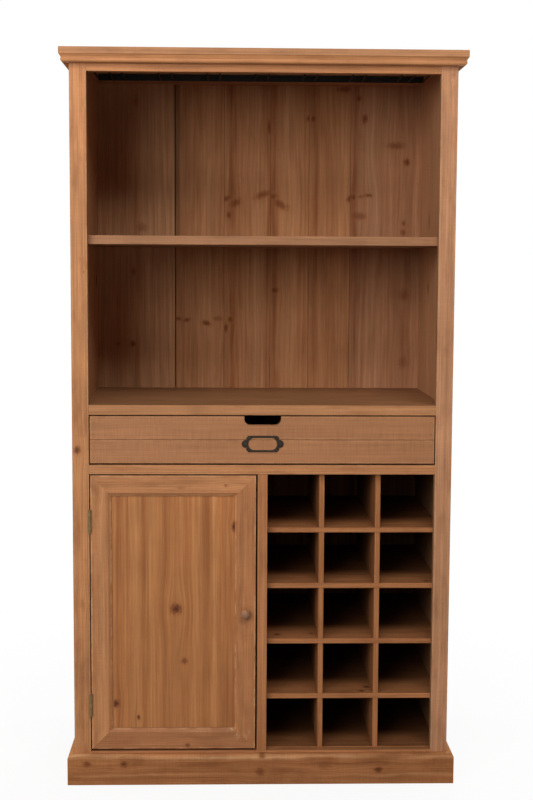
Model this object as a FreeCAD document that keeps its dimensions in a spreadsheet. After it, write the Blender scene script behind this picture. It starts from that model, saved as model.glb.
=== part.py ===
import FreeCAD, Part
import math
import os
import re
import Sketcher
from FreeCAD import Placement, Rotation, Vector

# Free-standing pine wine cabinet, in millimetres.
# X runs to the right, Y into the cabinet and Z up.
# The origin is on the floor, in the middle of the footprint of the overhanging top.

# Driving sizes. Each can be changed by itself.
SIZES = {
    # carcass
    "overall_height": 1700,
    "body_width": 878,
    "body_depth": 484,
    "side_thickness": 18,
    "top_thickness": 16,
    "top_overhang": 21,
    "top_rounding": 2,
    "housing_depth": 6,
    "joint_clearance": 0.2,
    "eased_edge": 1.2,
    "overrun": 5,
    # face frame
    "frame_thickness": 20,
    "stile_width": 38.5,
    "mullion_width": 23,
    "mullion_shift": 0.5,
    "top_rail_height": 35,
    "mid_rail_height": 22,
    "bottom_rail_height": 40,
    "tenon_length": 14,
    "tenon_thickness": 8,
    "tenon_shoulder": 5,
    "stub_length": 10,
    # levels, from the floor up
    "floor_level": 77,
    "floor_thickness": 18,
    "lower_opening": 658,
    "deck_thickness": 12,
    "deck_drop": 6,
    "drawer_opening": 116,
    "counter_thickness": 22.5,
    "lower_bay": 368,
    "shelf_thickness": 20,
    # back boards
    "back_thickness": 12,
    "back_rebate": 9,
    "back_lift": 10,
    "board_lap": 8,
    "board_gap": 0.8,
    "board_open_gap": 3.2,
    # cornice
    "cornice_height": 17.5,
    "cornice_reach": 20.5,
    "cornice_foot": 12.5,
    "cornice_swell": 4,
    "cornice_bead_height": 8.5,
    "cornice_bead_share": 0.69,
    "cornice_quirk": 0.6,
    "cornice_fillet": 1.2,
    "cornice_cove_share": 2.5,
    # plinth
    "plinth_height": 72,
    "plinth_thickness": 15.5,
    "plinth_rounding": 10,
    # inside the lower half
    "partition_thickness": 18,
    "cupboard_shelf_thickness": 16,
    "cupboard_shelf_height": 310,
    "cupboard_shelf_setback": 40,
    "rack_shelf_thickness": 11,
    "rack_divider_thickness": 12,
    "rack_first_height": 119,
    "slot_clearance": 0.1,
    # door
    "door_thickness": 20,
    "door_frame_width": 49,
    "door_lock_gap": 3.5,
    "door_top_gap": 2.5,
    "door_bottom_gap": 4.5,
    "door_bevel_width": 8,
    "door_bevel_depth": 7,
    "door_lip": 2,
    "panel_thickness": 6,
    "panel_groove": 8,
    "panel_play": 1,
    # knob
    "knob_diameter": 22,
    "knob_projection": 18,
    "knob_dome": 6,
    "knob_neck": 4,
    "knob_neck_diameter": 12,
    "knob_base_diameter": 15,
    "knob_cheek_radius": 8,
    "knob_spigot_diameter": 8,
    "knob_spigot_length": 14,
    "spigot_clearance": 0.05,
    # hinges
    "hinge_length": 51,
    "hinge_inset": 107,
    "leaf_width": 16,
    "leaf_thickness": 1.2,
    "leaf_seat": 0.35,
    "leaf_gap": 0.3,
    "barrel_diameter": 6.6,
    "barrel_standoff": 0.35,
    "knuckle_gap": 0.6,
    "pin_diameter": 2.6,
    "pin_clearance": 0.05,
    "pin_head_diameter": 5.4,
    "pin_head_height": 1.5,
    "hinge_screw_spread": 34,
    "hinge_screw_diameter": 2.6,
    "hinge_screw_head": 5.6,
    "hinge_screw_length": 12,
    "screw_clearance": 0.05,
    # magnetic catch
    "catch_width": 18,
    "catch_depth": 13,
    "catch_height": 46,
    "catch_inset": 90,
    "catch_slot": 3,
    "catch_gap": 0.3,
    "strike_width": 13,
    "strike_thickness": 1.5,
    "strike_inset": 2,
    # drawer
    "drawer_side_gap": 2,
    "drawer_top_gap": 2.5,
    "drawer_bottom_gap": 3.5,
    "drawer_front_thickness": 20,
    "drawer_joint_chamfer": 1.5,
    "drawer_wall": 12,
    "drawer_wall_drop": 18,
    "drawer_rebate": 8,
    "drawer_stop_gap": 0.8,
    "drawer_bottom_thickness": 5,
    "drawer_bottom_lift": 8,
    "drawer_groove": 5,
    "drawer_back_inset": 8,
    "drawer_back_drop": 8,
    "finger_half_width": 42.5,
    "finger_depth": 21,
    "finger_radius": 14,
    "runner_clearance": 0.3,
    "runner_ledge": 14,
    "runner_guide": 30,
    # label holder
    "label_height": 38,
    "label_width": 76,
    "label_clip": 5,
    "label_thickness": 2.2,
    "label_rounding": 0.7,
    "label_bar": 4.75,
    "label_end": 5,
    "label_window_flat": 1.25,
    "label_ear_radius": 9,
    "label_ear_reach": 1.5,
    "label_offset": 9,
    "label_card_slot": 0.8,
    "label_card_margin": 2.5,
    "label_screw_head": 6.4,
    "label_screw_dome": 1.4,
    "label_dome_share": 0.8,
    "label_screw_diameter": 2.4,
    "label_screw_length": 12,
    # stemware rack
    "stem_side_gap": 20,
    "stem_end_loop_width": 35,
    "stem_bar_height": 16,
    "stem_bar_depth": 292,
    "stem_strap_thickness": 2.5,
    "stem_flange_width": 14,
    "stem_wire_diameter": 5,
    "stem_slot_width": 30,
    "stem_mouth_depth": 48,
    "stem_bend_radius": 12,
    "stem_hanger_width": 16,
    "stem_screw_head_diameter": 6,
    "stem_screw_dome_height": 1.6,
    "stem_screw_diameter": 2.8,
    "stem_screw_grip_length": 10,
    "stem_bar_screw_inset": 97.5,
}

# Counts of the pieces that repeat.
STEM_CHANNELS = 7
RACK_SHELVES = 4
KNUCKLES = 3

# Places and spans that follow from the driving sizes.
PLACES = {
    "face_y": "(top_overhang - body_depth) / 2",
    "back_y": "face_y + body_depth",
    "frame_back_y": "face_y + frame_thickness",
    "inner_back_y": "back_y - back_thickness",
    "inner_depth": "inner_back_y - frame_back_y",
    "side_depth": "back_y - frame_back_y",
    "half_body": "body_width / 2",
    "opening_half": "half_body - stile_width",
    "opening_width": "2 * opening_half",
    "inner_half": "half_body - side_thickness",
    "housing_reach": "housing_depth - joint_clearance",
    "housed_half": "inner_half + housing_reach",
    "tenon_front": "(frame_thickness - tenon_thickness) / 2",
    "tenon_back": "tenon_front + tenon_thickness",
    "mullion_left": "mullion_shift - mullion_width / 2",
    "mullion_right": "mullion_shift + mullion_width / 2",
    "partition_left": "mullion_right - partition_thickness",
    "ceiling": "overall_height - top_thickness",
    "floor_bottom": "floor_level - floor_thickness",
    "mid_rail_bottom": "floor_level + lower_opening",
    "mid_rail_top": "mid_rail_bottom + mid_rail_height",
    "deck_top": "mid_rail_top - deck_drop",
    "deck_bottom": "deck_top - deck_thickness",
    "counter_bottom": "mid_rail_top + drawer_opening",
    "counter_top": "counter_bottom + counter_thickness",
    "shelf_bottom": "counter_top + lower_bay",
    "shelf_top": "shelf_bottom + shelf_thickness",
    "top_rail_bottom": "ceiling - top_rail_height",
    "cupboard_shelf_bottom": "floor_level + cupboard_shelf_height",
    "cupboard_shelf_top": "cupboard_shelf_bottom + cupboard_shelf_thickness",
    "back_half": "inner_half + back_rebate - joint_clearance",
    "cornice_bead": "cornice_foot + cornice_swell",
    "cornice_neck": "cornice_bead_height + cornice_fillet",
    "cornice_cove": "cornice_bead - cornice_quirk",
    "rack_height": "deck_bottom - floor_level",
    "rack_row_pitch": "(rack_height - rack_first_height - rack_shelf_thickness) / %d" % RACK_SHELVES,
    "rack_left": "mullion_right - housing_reach",
    "door_hinge_gap": "2 * (leaf_thickness - leaf_seat) + leaf_gap",
    "door_left": "door_hinge_gap - opening_half",
    "door_right": "mullion_left - door_lock_gap",
    "door_bottom": "floor_level + door_bottom_gap",
    "door_top": "mid_rail_bottom - door_top_gap",
    "door_width": "door_right - door_left",
    "door_height": "door_top - door_bottom",
    "groove_front": "door_bevel_depth + door_lip",
    "groove_back": "groove_front + panel_thickness + joint_clearance",
    "panel_inset": "door_frame_width - panel_groove + panel_play",
    "knob_radius": "knob_diameter / 2",
    "knob_rim": "knob_projection - knob_dome",
    "barrel_radius": "barrel_diameter / 2",
    "pin_to_face": "barrel_radius + barrel_standoff",
    "pin_x": "door_hinge_gap / 2 - opening_half",
    "pin_y": "face_y - pin_to_face",
    "pin_bore": "pin_diameter / 2 + pin_clearance",
    "drawer_half": "opening_half - drawer_side_gap",
    "drawer_bottom_z": "mid_rail_top + drawer_bottom_gap",
    "drawer_front_height": "counter_bottom - drawer_top_gap - drawer_bottom_z",
    "drawer_board": "drawer_front_height / 2",
    "drawer_joint_z": "drawer_bottom_z + drawer_board",
    "drawer_wall_height": "drawer_front_height - drawer_wall_drop",
    "drawer_wall_y": "face_y + drawer_front_thickness - drawer_rebate",
    "drawer_wall_length": "inner_back_y - drawer_stop_gap - drawer_wall_y",
    "drawer_floor": "drawer_bottom_lift + drawer_bottom_thickness",
    "runner_height": "drawer_bottom_z - runner_clearance - deck_top",
    "label_z": "drawer_joint_z - label_offset",
    "label_window_height": "label_height - 2 * label_bar",
    "label_window_width": "label_width - 2 * label_end",
    "label_window_radius": "label_window_height / 2 - label_window_flat",
    "ear_centre": "label_width / 2 + label_ear_reach",
    "stem_bar_length": "2 * (inner_half - stem_side_gap)",
    "stem_bar_y": "face_y + stem_bar_depth",
    "stem_bottom": "ceiling - stem_bar_height",
    "stem_run": "stem_bar_depth - stem_mouth_depth",
    "stem_web_y": "face_y + stem_mouth_depth - stem_wire_diameter / 2 - stem_strap_thickness",
    "stem_end": "(stem_bar_length - stem_wire_diameter) / 2",
    "stem_last_wire": "stem_end - stem_end_loop_width",
    "stem_pitch": "(2 * stem_last_wire - stem_slot_width) / %d" % (STEM_CHANNELS - 1),
    "stem_bar_screw": "stem_bar_length / 2 - stem_bar_screw_inset",
}

# Joints between the back boards, as shares of the width of the back from the left.
BACK_JOINT_SHARES = (0.245, 0.393, 0.534, 0.651, 0.777)
# Left faces of the rack dividers, as shares of the opening from the mullion to the right stile.
RACK_DIVIDER_SHARES = (0.313, 0.651)
# How far an edge may lie from where it is looked for.
MATCH_TOLERANCE = 0.01

doc = FreeCAD.newDocument("WineCabinet")
pieces = []


def linked(formula):
    """Point every named size in a formula at the sheet that holds it."""
    def home(match):
        name = match.group(0)
        if name in SIZES:
            return "Sizes." + name
        return "Places." + name if name in PLACES else name
    return re.sub(r"[a-z][a-z_]+", home, formula)


def make_sheet(name, cells):
    sheet = doc.addObject("Spreadsheet::Sheet", name)
    for row, (alias, content) in enumerate(cells.items(), start=1):
        sheet.set("A%d" % row, alias)
        sheet.set("B%d" % row, content)
        sheet.setAlias("B%d" % row, alias)
    return sheet


sizes = make_sheet("Sizes", {name: str(size) for name, size in SIZES.items()})
places = make_sheet("Places", {name: "=" + linked(formula) for name, formula in PLACES.items()})
doc.recompute()


def value(formula):
    return float(sizes.evalExpression(linked(formula)))


def bind(thing, path, formula):
    thing.setExpression(path, linked(formula))


def minus(formula):
    return "-(" + formula + ")"


def sided(side, formula):
    """The formula on the right of the middle (side 1), its mirror on the left (side -1)."""
    return formula if side > 0 else minus(formula)


def new_body(label):
    body = doc.addObject("PartDesign::Body", label)
    body.Label = label
    pieces.append(body)
    return body


def place(body, corner, axis=Vector(0, 0, 1), angle=0):
    """Turn the piece about its own origin, then carry that origin to the corner."""
    body.Placement = Placement(Vector(), Rotation(axis, angle))
    for letter, formula in zip("xyz", corner):
        bind(body, "Placement.Base." + letter, formula)


# Sketching

def rectangle(left, low, right, high):
    return [(left, low), (right, low), (right, high), (left, high)]


def pin_point(drawing, edge, end, point):
    """Hold a corner of a sketch at its two formulas, measured from the sketch's origin."""
    for kind, axis, formula in (("DistanceX", -2, point[0]), ("DistanceY", -1, point[1])):
        if formula == "0":
            drawing.addConstraint(Sketcher.Constraint("PointOnObject", edge, end, axis))
        else:
            place_at = Sketcher.Constraint(kind, -1, 1, edge, end, value(formula))
            bind(drawing, "Constraints[%d]" % drawing.addConstraint(place_at), formula)


def round_run(start, end, radius, turn):
    """The arc of less than half a circle from start to end, to the left (turn 1) or right (-1)."""
    chord = end - start
    rise = math.sqrt(max(radius ** 2 - (chord.Length / 2) ** 2, 0))
    centre = (start + end) / 2 + Vector(-chord.y, chord.x, 0).normalize() * rise * turn
    first, last = (start, end) if turn > 0 else (end, start)
    angles = [math.atan2(p.y - centre.y, p.x - centre.x) for p in (first, last)]
    return Part.ArcOfCircle(Part.Circle(centre, Vector(0, 0, 1), radius), *angles)


def draw_outline(drawing, points, closed=True):
    """Join the points by lines, or by an arc where a point also gives a radius and a turn."""
    spots = [Vector(value(point[0]), value(point[1]), 0) for point in points]
    runs = []
    for k in range(0 if closed else 1, len(points)):
        if len(points[k]) == 2:
            edge = drawing.addGeometry(Part.LineSegment(spots[k - 1], spots[k]), False)
            runs.append((edge, 1, 2))
        else:
            radius, turn = points[k][2:]
            arc = round_run(spots[k - 1], spots[k], value(radius), turn)
            edge = drawing.addGeometry(arc, False)
            runs.append((edge, 1, 2) if turn > 0 else (edge, 2, 1))
            size = drawing.addConstraint(Sketcher.Constraint("Radius", edge, value(radius)))
            bind(drawing, "Constraints[%d]" % size, radius)
    for before, after in zip(runs, runs[1:] + runs[:1] if closed else runs[1:]):
        drawing.addConstraint(Sketcher.Constraint("Coincident", before[0], before[2], after[0], after[1]))
    if not closed:
        pin_point(drawing, runs[0][0], runs[0][1], points[0])
    for run, point in zip(runs, points if closed else points[1:]):
        pin_point(drawing, run[0], run[2], point)


def draw_circle(drawing, across, up, radius):
    centre = Vector(value(across), value(up), 0)
    edge = drawing.addGeometry(Part.Circle(centre, Vector(0, 0, 1), value(radius)), False)
    size = drawing.addConstraint(Sketcher.Constraint("Radius", edge, value(radius)))
    bind(drawing, "Constraints[%d]" % size, radius)
    pin_point(drawing, edge, 3, (across, up))


def sketch(body, plane, outlines=(), circles=(), offset="0", closed=True):
    """A sketch on one of the body's origin planes, moved along the plane's normal by offset."""
    drawing = body.newObject("Sketcher::SketchObject", "Sketch")
    support = next(item for item in body.Origin.OriginFeatures if item.Role == plane)
    drawing.AttachmentSupport = [(support, "")]
    drawing.MapMode = "FlatFace"
    bind(drawing, "AttachmentOffset.Base.z", offset)
    for outline in outlines:
        draw_outline(drawing, outline, closed)
    for circle in circles:
        draw_circle(drawing, *circle)
    return drawing


# Features

def pad(body, drawing, length, backward=False, taper=None):
    feature = body.newObject("PartDesign::Pad", "Pad")
    feature.Profile = drawing
    feature.Reversed = backward
    bind(feature, "Length", length)
    if taper:
        bind(feature, "TaperAngle", taper)
    return feature


def pocket(body, drawing, depth=None, backward=False, taper=None):
    """Cut to a depth, or right through both ways, and make sure that wood or metal really went."""
    doc.recompute()
    before = body.Shape.Volume
    feature = body.newObject("PartDesign::Pocket", "Pocket")
    feature.Profile = drawing
    if depth is None:
        feature.Type = "ThroughAll"
        feature.SideType = "Symmetric"
    else:
        feature.Reversed = backward
        bind(feature, "Length", depth)
        if taper:
            bind(feature, "TaperAngle", taper)
    doc.recompute()
    if not body.Shape.Volume < before:
        raise RuntimeError("a pocket cut nothing from " + body.Label)
    return feature


def runs(direction, **at):
    """A test for straight edges along one axis, at the given places on the other axes."""
    spots = {axis: value(formula) for axis, formula in at.items()}
    line = Vector(*(float(axis == direction) for axis in "xyz"))

    def test(edge):
        if not isinstance(edge.Curve, Part.Line) or abs(edge.Curve.Direction.dot(line)) < 1 - MATCH_TOLERANCE:
            return False
        middle = edge.CenterOfMass
        return all(abs(getattr(middle, axis) - spot) < MATCH_TOLERANCE for axis, spot in spots.items())
    return test


def lies_at(level):
    """A test for edges that lie wholly in one plane square to Y."""
    spot = value(level)

    def test(edge):
        return max(abs(edge.BoundBox.YMin - spot), abs(edge.BoundBox.YMax - spot)) < MATCH_TOLERANCE
    return test


def soften(body, kind, size_name, size, tests):
    doc.recompute()
    tip = body.Tip
    edges = list(enumerate(tip.Shape.Edges, start=1))
    feature = body.newObject("PartDesign::" + kind, kind)
    feature.Base = (tip, ["Edge%d" % k for k, edge in edges if any(test(edge) for test in tests)])
    bind(feature, size_name, size)
    doc.recompute()
    return feature


def ease(body, *tests, radius="eased_edge"):
    return soften(body, "Fillet", "Radius", radius, tests)


def chamfer(body, *tests, size):
    return soften(body, "Chamfer", "Size", size, tests)


def slab(label, corner, size):
    """A plain board from its low corner and its sizes along X, Y and Z."""
    body = new_body(label)
    pad(body, sketch(body, "XY_Plane", [rectangle("0", "0", size[0], size[1])]), size[2])
    place(body, corner)
    return body


# Face frame: rails tenoned into full-height stiles, and a mullion stub-tenoned into two rails

RAILS = {
    "top_rail": ("top_rail_bottom", "top_rail_height"),
    "mid_rail": ("mid_rail_bottom", "mid_rail_height"),
    "bottom_rail": ("floor_level - bottom_rail_height", "bottom_rail_height"),
}


def hinge_centres():
    return ("door_bottom + hinge_inset", "door_top - hinge_inset")


def hinge_screw_spots(centre):
    return [centre + sign + " hinge_screw_spread / 2" for sign in (" -", " +")]


def stile(label, side):
    left = "opening_half" if side > 0 else "-half_body"
    inner = "0" if side > 0 else "stile_width"
    body = slab(label, (left, "face_y", "0"), ("stile_width", "frame_thickness", "ceiling"))
    ease(body, runs("z", y="0"))
    mortises = []
    for bottom, height in RAILS.values():
        low = bottom + " + tenon_shoulder"
        high = bottom + " + " + height + " - tenon_shoulder"
        mortises.append(rectangle("tenon_front", low, "tenon_back", high))
    drawing = sketch(body, "YZ_Plane", mortises, offset=inner)
    pocket(body, drawing, "tenon_length + joint_clearance", backward=side > 0)
    return body


def hinge_stile(label):
    """The left stile, with a shallow seat and pilot holes for each hinge leaf."""
    body = stile(label, -1)
    seats = []
    holes = []
    for centre in hinge_centres():
        low = centre + " - hinge_length / 2"
        high = centre + " + hinge_length / 2"
        seats.append(rectangle("-overrun", low, "leaf_width", high))
        for spot in hinge_screw_spots(centre):
            holes.append(("leaf_width / 2", spot, "hinge_screw_diameter / 2 + screw_clearance"))
    pocket(body, sketch(body, "YZ_Plane", seats, offset="stile_width"), "leaf_seat")
    drawing = sketch(body, "YZ_Plane", circles=holes, offset="stile_width")
    pocket(body, drawing, "leaf_seat + hinge_screw_length + joint_clearance")
    return body


def rail(label):
    bottom, height = RAILS[label]
    body = new_body(label)
    section = rectangle("0", "0", "frame_thickness", height)
    pad(body, sketch(body, "YZ_Plane", [section]), "opening_width")
    ease(body, runs("x", y="0"))
    tenon = rectangle("tenon_front", "tenon_shoulder", "tenon_back", height + " - tenon_shoulder")
    drawing = sketch(body, "YZ_Plane", [tenon], offset="-tenon_length")
    pad(body, drawing, "opening_width + 2 * tenon_length")
    place(body, ("-opening_half", "face_y", bottom))
    return body


def mullion_mortise(body, level, backward):
    middle = "opening_half + mullion_shift"
    half = "(mullion_width / 2 - tenon_shoulder)"
    hole = rectangle(middle + " - " + half, "tenon_front", middle + " + " + half, "tenon_back")
    drawing = sketch(body, "XY_Plane", [hole], offset=level)
    pocket(body, drawing, "stub_length + joint_clearance", backward=backward)


def mullion():
    body = new_body("mullion")
    section = rectangle("0", "0", "mullion_width", "frame_thickness")
    pad(body, sketch(body, "XY_Plane", [section]), "lower_opening")
    ease(body, runs("z", y="0"))
    stub = rectangle("tenon_shoulder", "tenon_front", "mullion_width - tenon_shoulder", "tenon_back")
    drawing = sketch(body, "XY_Plane", [stub], offset="-stub_length")
    pad(body, drawing, "lower_opening + 2 * stub_length")
    place(body, ("mullion_left", "face_y", "floor_level"))


def build_face_frame():
    hinge_stile("stile_left")
    stile("stile_right", 1)
    rail("top_rail")
    mullion_mortise(rail("mid_rail"), "0", True)
    mullion_mortise(rail("bottom_rail"), "bottom_rail_height", False)
    mullion()


# Carcass: side panels with housings, boards that sit in them, and the back

def rack_shelf_bottom(row):
    return "floor_level + rack_first_height + %d * rack_row_pitch" % row


def rack_divider_left(share):
    return "mullion_right + %s * (opening_half - mullion_right)" % share


def rack_housings():
    levels = [rack_shelf_bottom(row) for row in range(RACK_SHELVES)]
    return [(level, level + " + rack_shelf_thickness") for level in levels]


def side_panel(label, side, own_housings):
    left = "inner_half" if side > 0 else "-half_body"
    body = slab(label, (left, "frame_back_y", "0"), ("side_thickness", "side_depth", "ceiling"))
    shared = [("floor_bottom", "floor_level"), ("deck_bottom", "deck_top"),
              ("counter_bottom", "counter_top"), ("shelf_bottom", "shelf_top")]
    near, far = ("0", "housing_depth") if side > 0 else ("side_thickness - housing_depth", "side_thickness")
    grooves = [rectangle(near, low, far, high) for low, high in shared + own_housings]
    pocket(body, sketch(body, "XZ_Plane", grooves))
    near, far = ("0", "back_rebate") if side > 0 else ("side_thickness - back_rebate", "side_thickness")
    rebate = rectangle(near, "side_depth - back_thickness", far, "side_depth")
    pocket(body, sketch(body, "XY_Plane", [rebate]))


def housed_board(label, bottom, thickness):
    """A full-width board behind the face frame, with its ends in the housings of both sides."""
    corner = ("-housed_half", "frame_back_y", bottom)
    return slab(label, corner, ("2 * housed_half", "inner_depth", thickness))


def counter_shelf():
    """The counter comes forward between the stiles, so its front corners are notched round them."""
    body = new_body("counter_shelf")
    outline = [
        ("-opening_half", "0"), ("opening_half", "0"), ("opening_half", "frame_thickness"),
        ("housed_half", "frame_thickness"), ("housed_half", "frame_thickness + inner_depth"),
        ("-housed_half", "frame_thickness + inner_depth"), ("-housed_half", "frame_thickness"),
        ("-opening_half", "frame_thickness"),
    ]
    pad(body, sketch(body, "XY_Plane", [outline]), "counter_thickness")
    ease(body, runs("x", y="0"))
    place(body, ("0", "face_y", "counter_bottom"))


def joint_gap(joint):
    """Gap of a back joint, the first of which has opened as its boards dried."""
    return "board_open_gap" if joint == 0 else "board_gap"


def back_board(index, left, right):
    """An upright board with a half-lap on each edge that meets a neighbour."""
    body = new_body("back_board_%d" % (index + 1))
    first, last = index == 0, index == len(BACK_JOINT_SHARES)
    near_gap, far_gap = joint_gap(index - 1) + " / 2", joint_gap(index) + " / 2"
    near = "0" if first else near_gap
    near_lap = "0" if first else "board_lap + " + near_gap
    width = "(" + right + ") - (" + left + ")"
    far = width if last else width + " - " + far_gap
    far_lap = width if last else width + " + board_lap - " + far_gap
    half, full = "back_thickness / 2", "back_thickness"
    outline = [(near, "0"), (far, "0")]
    outline += [(far, full)] if last else [(far, half), (far_lap, half), (far_lap, full)]
    outline += [(near, full)] if first else [(near_lap, full), (near_lap, half), (near, half)]
    pad(body, sketch(body, "XY_Plane", [outline]), "ceiling - back_lift")
    place(body, (left, "inner_back_y", "back_lift"))


def centre_partition():
    corner = ("partition_left", "frame_back_y", "floor_level")
    body = slab("centre_partition", corner, ("partition_thickness", "inner_depth", "rack_height"))
    grooves = [rectangle("0", "cupboard_shelf_height", "housing_depth",
                         "cupboard_shelf_height + cupboard_shelf_thickness")]
    for low, high in rack_housings():
        grooves.append(rectangle("partition_thickness - housing_depth", low + " - floor_level",
                                 "partition_thickness", high + " - floor_level"))
    pocket(body, sketch(body, "XZ_Plane", grooves))


def cupboard_shelf():
    width = "partition_left + 2 * housing_reach + inner_half"
    corner = ("-housed_half", "frame_back_y + cupboard_shelf_setback", "cupboard_shelf_bottom")
    body = slab("cupboard_shelf", corner,
                (width, "inner_depth - cupboard_shelf_setback", "cupboard_shelf_thickness"))
    ease(body, runs("x", y="0"))


def build_carcass():
    side_panel("side_panel_left", -1, [("cupboard_shelf_bottom", "cupboard_shelf_top")])
    side_panel("side_panel_right", 1, rack_housings())
    housed_board("floor_panel", "floor_bottom", "floor_thickness")
    housed_board("drawer_deck", "deck_bottom", "deck_thickness")
    counter_shelf()
    ease(housed_board("display_shelf", "shelf_bottom", "shelf_thickness"), runs("x", y="0"))
    edges = ["back_half * (2 * %s - 1)" % share for share in BACK_JOINT_SHARES]
    edges = ["-back_half"] + edges + ["back_half"]
    for index in range(len(edges) - 1):
        back_board(index, edges[index], edges[index + 1])
    centre_partition()
    cupboard_shelf()


# Bottle rack: shelves slotted from behind and dividers slotted from the front, halved together

def rack_shelf(row):
    corner = ("rack_left", "frame_back_y", rack_shelf_bottom(row))
    body = slab("rack_shelf_%d" % (row + 1), corner,
                ("housed_half - rack_left", "inner_depth", "rack_shelf_thickness"))
    ease(body, runs("x", y="0"))
    slots = []
    for share in RACK_DIVIDER_SHARES:
        left = rack_divider_left(share) + " - rack_left"
        slots.append(rectangle(left + " - slot_clearance", "inner_depth / 2",
                               left + " + rack_divider_thickness + slot_clearance", "inner_depth + overrun"))
    pocket(body, sketch(body, "XY_Plane", slots))


def rack_divider(label, share):
    corner = (rack_divider_left(share), "frame_back_y", "floor_level")
    body = slab(label, corner, ("rack_divider_thickness", "inner_depth", "rack_height"))
    ease(body, runs("z", y="0"))
    slots = []
    for low, high in rack_housings():
        slots.append(rectangle("-overrun", low + " - floor_level - slot_clearance",
                               "inner_depth / 2", high + " - floor_level + slot_clearance"))
    pocket(body, sketch(body, "YZ_Plane", slots))


def build_bottle_rack():
    for row in range(RACK_SHELVES):
        rack_shelf(row)
    for number, share in enumerate(RACK_DIVIDER_SHARES, start=1):
        rack_divider("rack_divider_%d" % number, share)


# Top board, cornice and plinth

STEM_BAR_SCREWS = ("-stem_bar_screw", "0", "stem_bar_screw")


def stem_middles():
    """Middles of the wire loops: one between each two channels, and a narrow one at each end."""
    inner = ["stem_pitch * %s" % (k - STEM_CHANNELS / 2) for k in range(1, STEM_CHANNELS)]
    outer = "stem_end - stem_end_loop_width / 2"
    return [minus(outer)] + inner + [outer]


def stem_screw_spots():
    hanger_y = "stem_web_y + stem_strap_thickness - stem_flange_width / 2"
    bar_y = "stem_bar_y + stem_strap_thickness + stem_flange_width / 2"
    spots = [(middle, hanger_y) for middle in stem_middles()]
    return spots + [(across, bar_y) for across in STEM_BAR_SCREWS]


def top_board():
    half = "(half_body + top_overhang)"
    body = slab("top_board", (minus(half), "face_y - top_overhang", "ceiling"),
                ("2 * " + half, "body_depth + top_overhang", "top_thickness"))
    ease(body, runs("x", y="0"), runs("y"), radius="top_rounding")
    holes = []
    for across, deep in stem_screw_spots():
        holes.append((across + " + " + half, deep + " - face_y + top_overhang",
                      "stem_screw_diameter / 2 + screw_clearance"))
    drawing = sketch(body, "XY_Plane", circles=holes)
    pocket(body, drawing, "stem_screw_grip_length + joint_clearance", backward=True)


def cornice_profile():
    """From the wall out along the underside, up the bead, in at the quirk and up the cove."""
    bead = "cornice_bead_share * sqrt(cornice_swell ^ 2 + cornice_bead_height ^ 2)"
    rise = "(cornice_height - cornice_neck)"
    cove = "cornice_cove_share * sqrt((cornice_reach - cornice_cove) ^ 2 + " + rise + " ^ 2)"
    return [
        ("0", "0"), ("-cornice_foot", "0"), ("-cornice_bead", "cornice_bead_height", bead, -1),
        ("-cornice_cove", "cornice_bead_height"), ("-cornice_cove", "cornice_neck"),
        ("-cornice_reach", "cornice_height", cove, 1), ("0", "cornice_height"),
    ]


def plinth_profile():
    return [
        ("0", "0"), ("-plinth_thickness", "0"), ("-plinth_thickness", "plinth_height - plinth_rounding"),
        ("plinth_rounding - plinth_thickness", "plinth_height", "plinth_rounding", -1),
        ("0", "plinth_height"),
    ]


def mitred_moulding(label, profile, reach, length, mitres, corner, angle):
    """A moulding along its own X with its back at Y 0, mitred at the start, the end or both."""
    body = new_body(label)
    pad(body, sketch(body, "YZ_Plane", [profile]), length)
    cuts = {
        "start": [("-overrun", "-" + reach + " - overrun"), (reach + " + overrun", "overrun"),
                  ("-overrun", "overrun")],
        "end": [(length + " + overrun", "-" + reach + " - overrun"), (length + " + overrun", "overrun"),
                (length + " - " + reach + " - overrun", "overrun")],
    }
    for mitre in mitres:
        pocket(body, sketch(body, "XY_Plane", [cuts[mitre]]))
    place(body, corner, angle=angle)


def wrap_moulding(name, profile, reach, level):
    """Front, left and right lengths of one moulding round the body."""
    outer = "(half_body + " + reach + ")"
    front, side = "2 * " + outer, "(body_depth + " + reach + ")"
    mitred_moulding(name + "_front", profile, reach, front, ("start", "end"),
                    (minus(outer), "face_y", level), 0)
    mitred_moulding(name + "_left", profile, reach, side, ("end",), ("-half_body", "back_y", level), -90)
    mitred_moulding(name + "_right", profile, reach, side, ("start",),
                    ("half_body", "face_y - " + reach, level), 90)


def build_top_and_base():
    top_board()
    wrap_moulding("cornice", cornice_profile(), "cornice_reach", "ceiling - cornice_height")
    wrap_moulding("plinth", plinth_profile(), "plinth_thickness", "0")


# Door: mitred frame with a bevelled inner edge, a loose flat panel in its groove, and a turned knob

def door_member(label, length, corner, angle):
    """A frame member along its own X, front at Y 0 and outer edge at Z 0, mitred at both ends."""
    body = new_body(label)
    inner = "door_frame_width"
    section = [
        ("0", "0"), ("door_thickness", "0"), ("door_thickness", inner), ("groove_back", inner),
        ("groove_back", inner + " - panel_groove"), ("groove_front", inner + " - panel_groove"),
        ("groove_front", inner), ("door_bevel_depth", inner), ("0", inner + " - door_bevel_width"),
    ]
    pad(body, sketch(body, "YZ_Plane", [section]), length)
    ease(body, runs("x", y="0", z="0"))
    reach = "(door_frame_width + overrun)"
    start = [("-overrun", "-overrun"), (reach, reach), ("-overrun", reach)]
    end = [(length + " + overrun", "-overrun"), (length + " + overrun", reach),
           (length + " - " + reach, reach)]
    pocket(body, sketch(body, "XZ_Plane", [start, end]))
    place(body, corner, Vector(0, 1, 0), angle)
    return body


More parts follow.
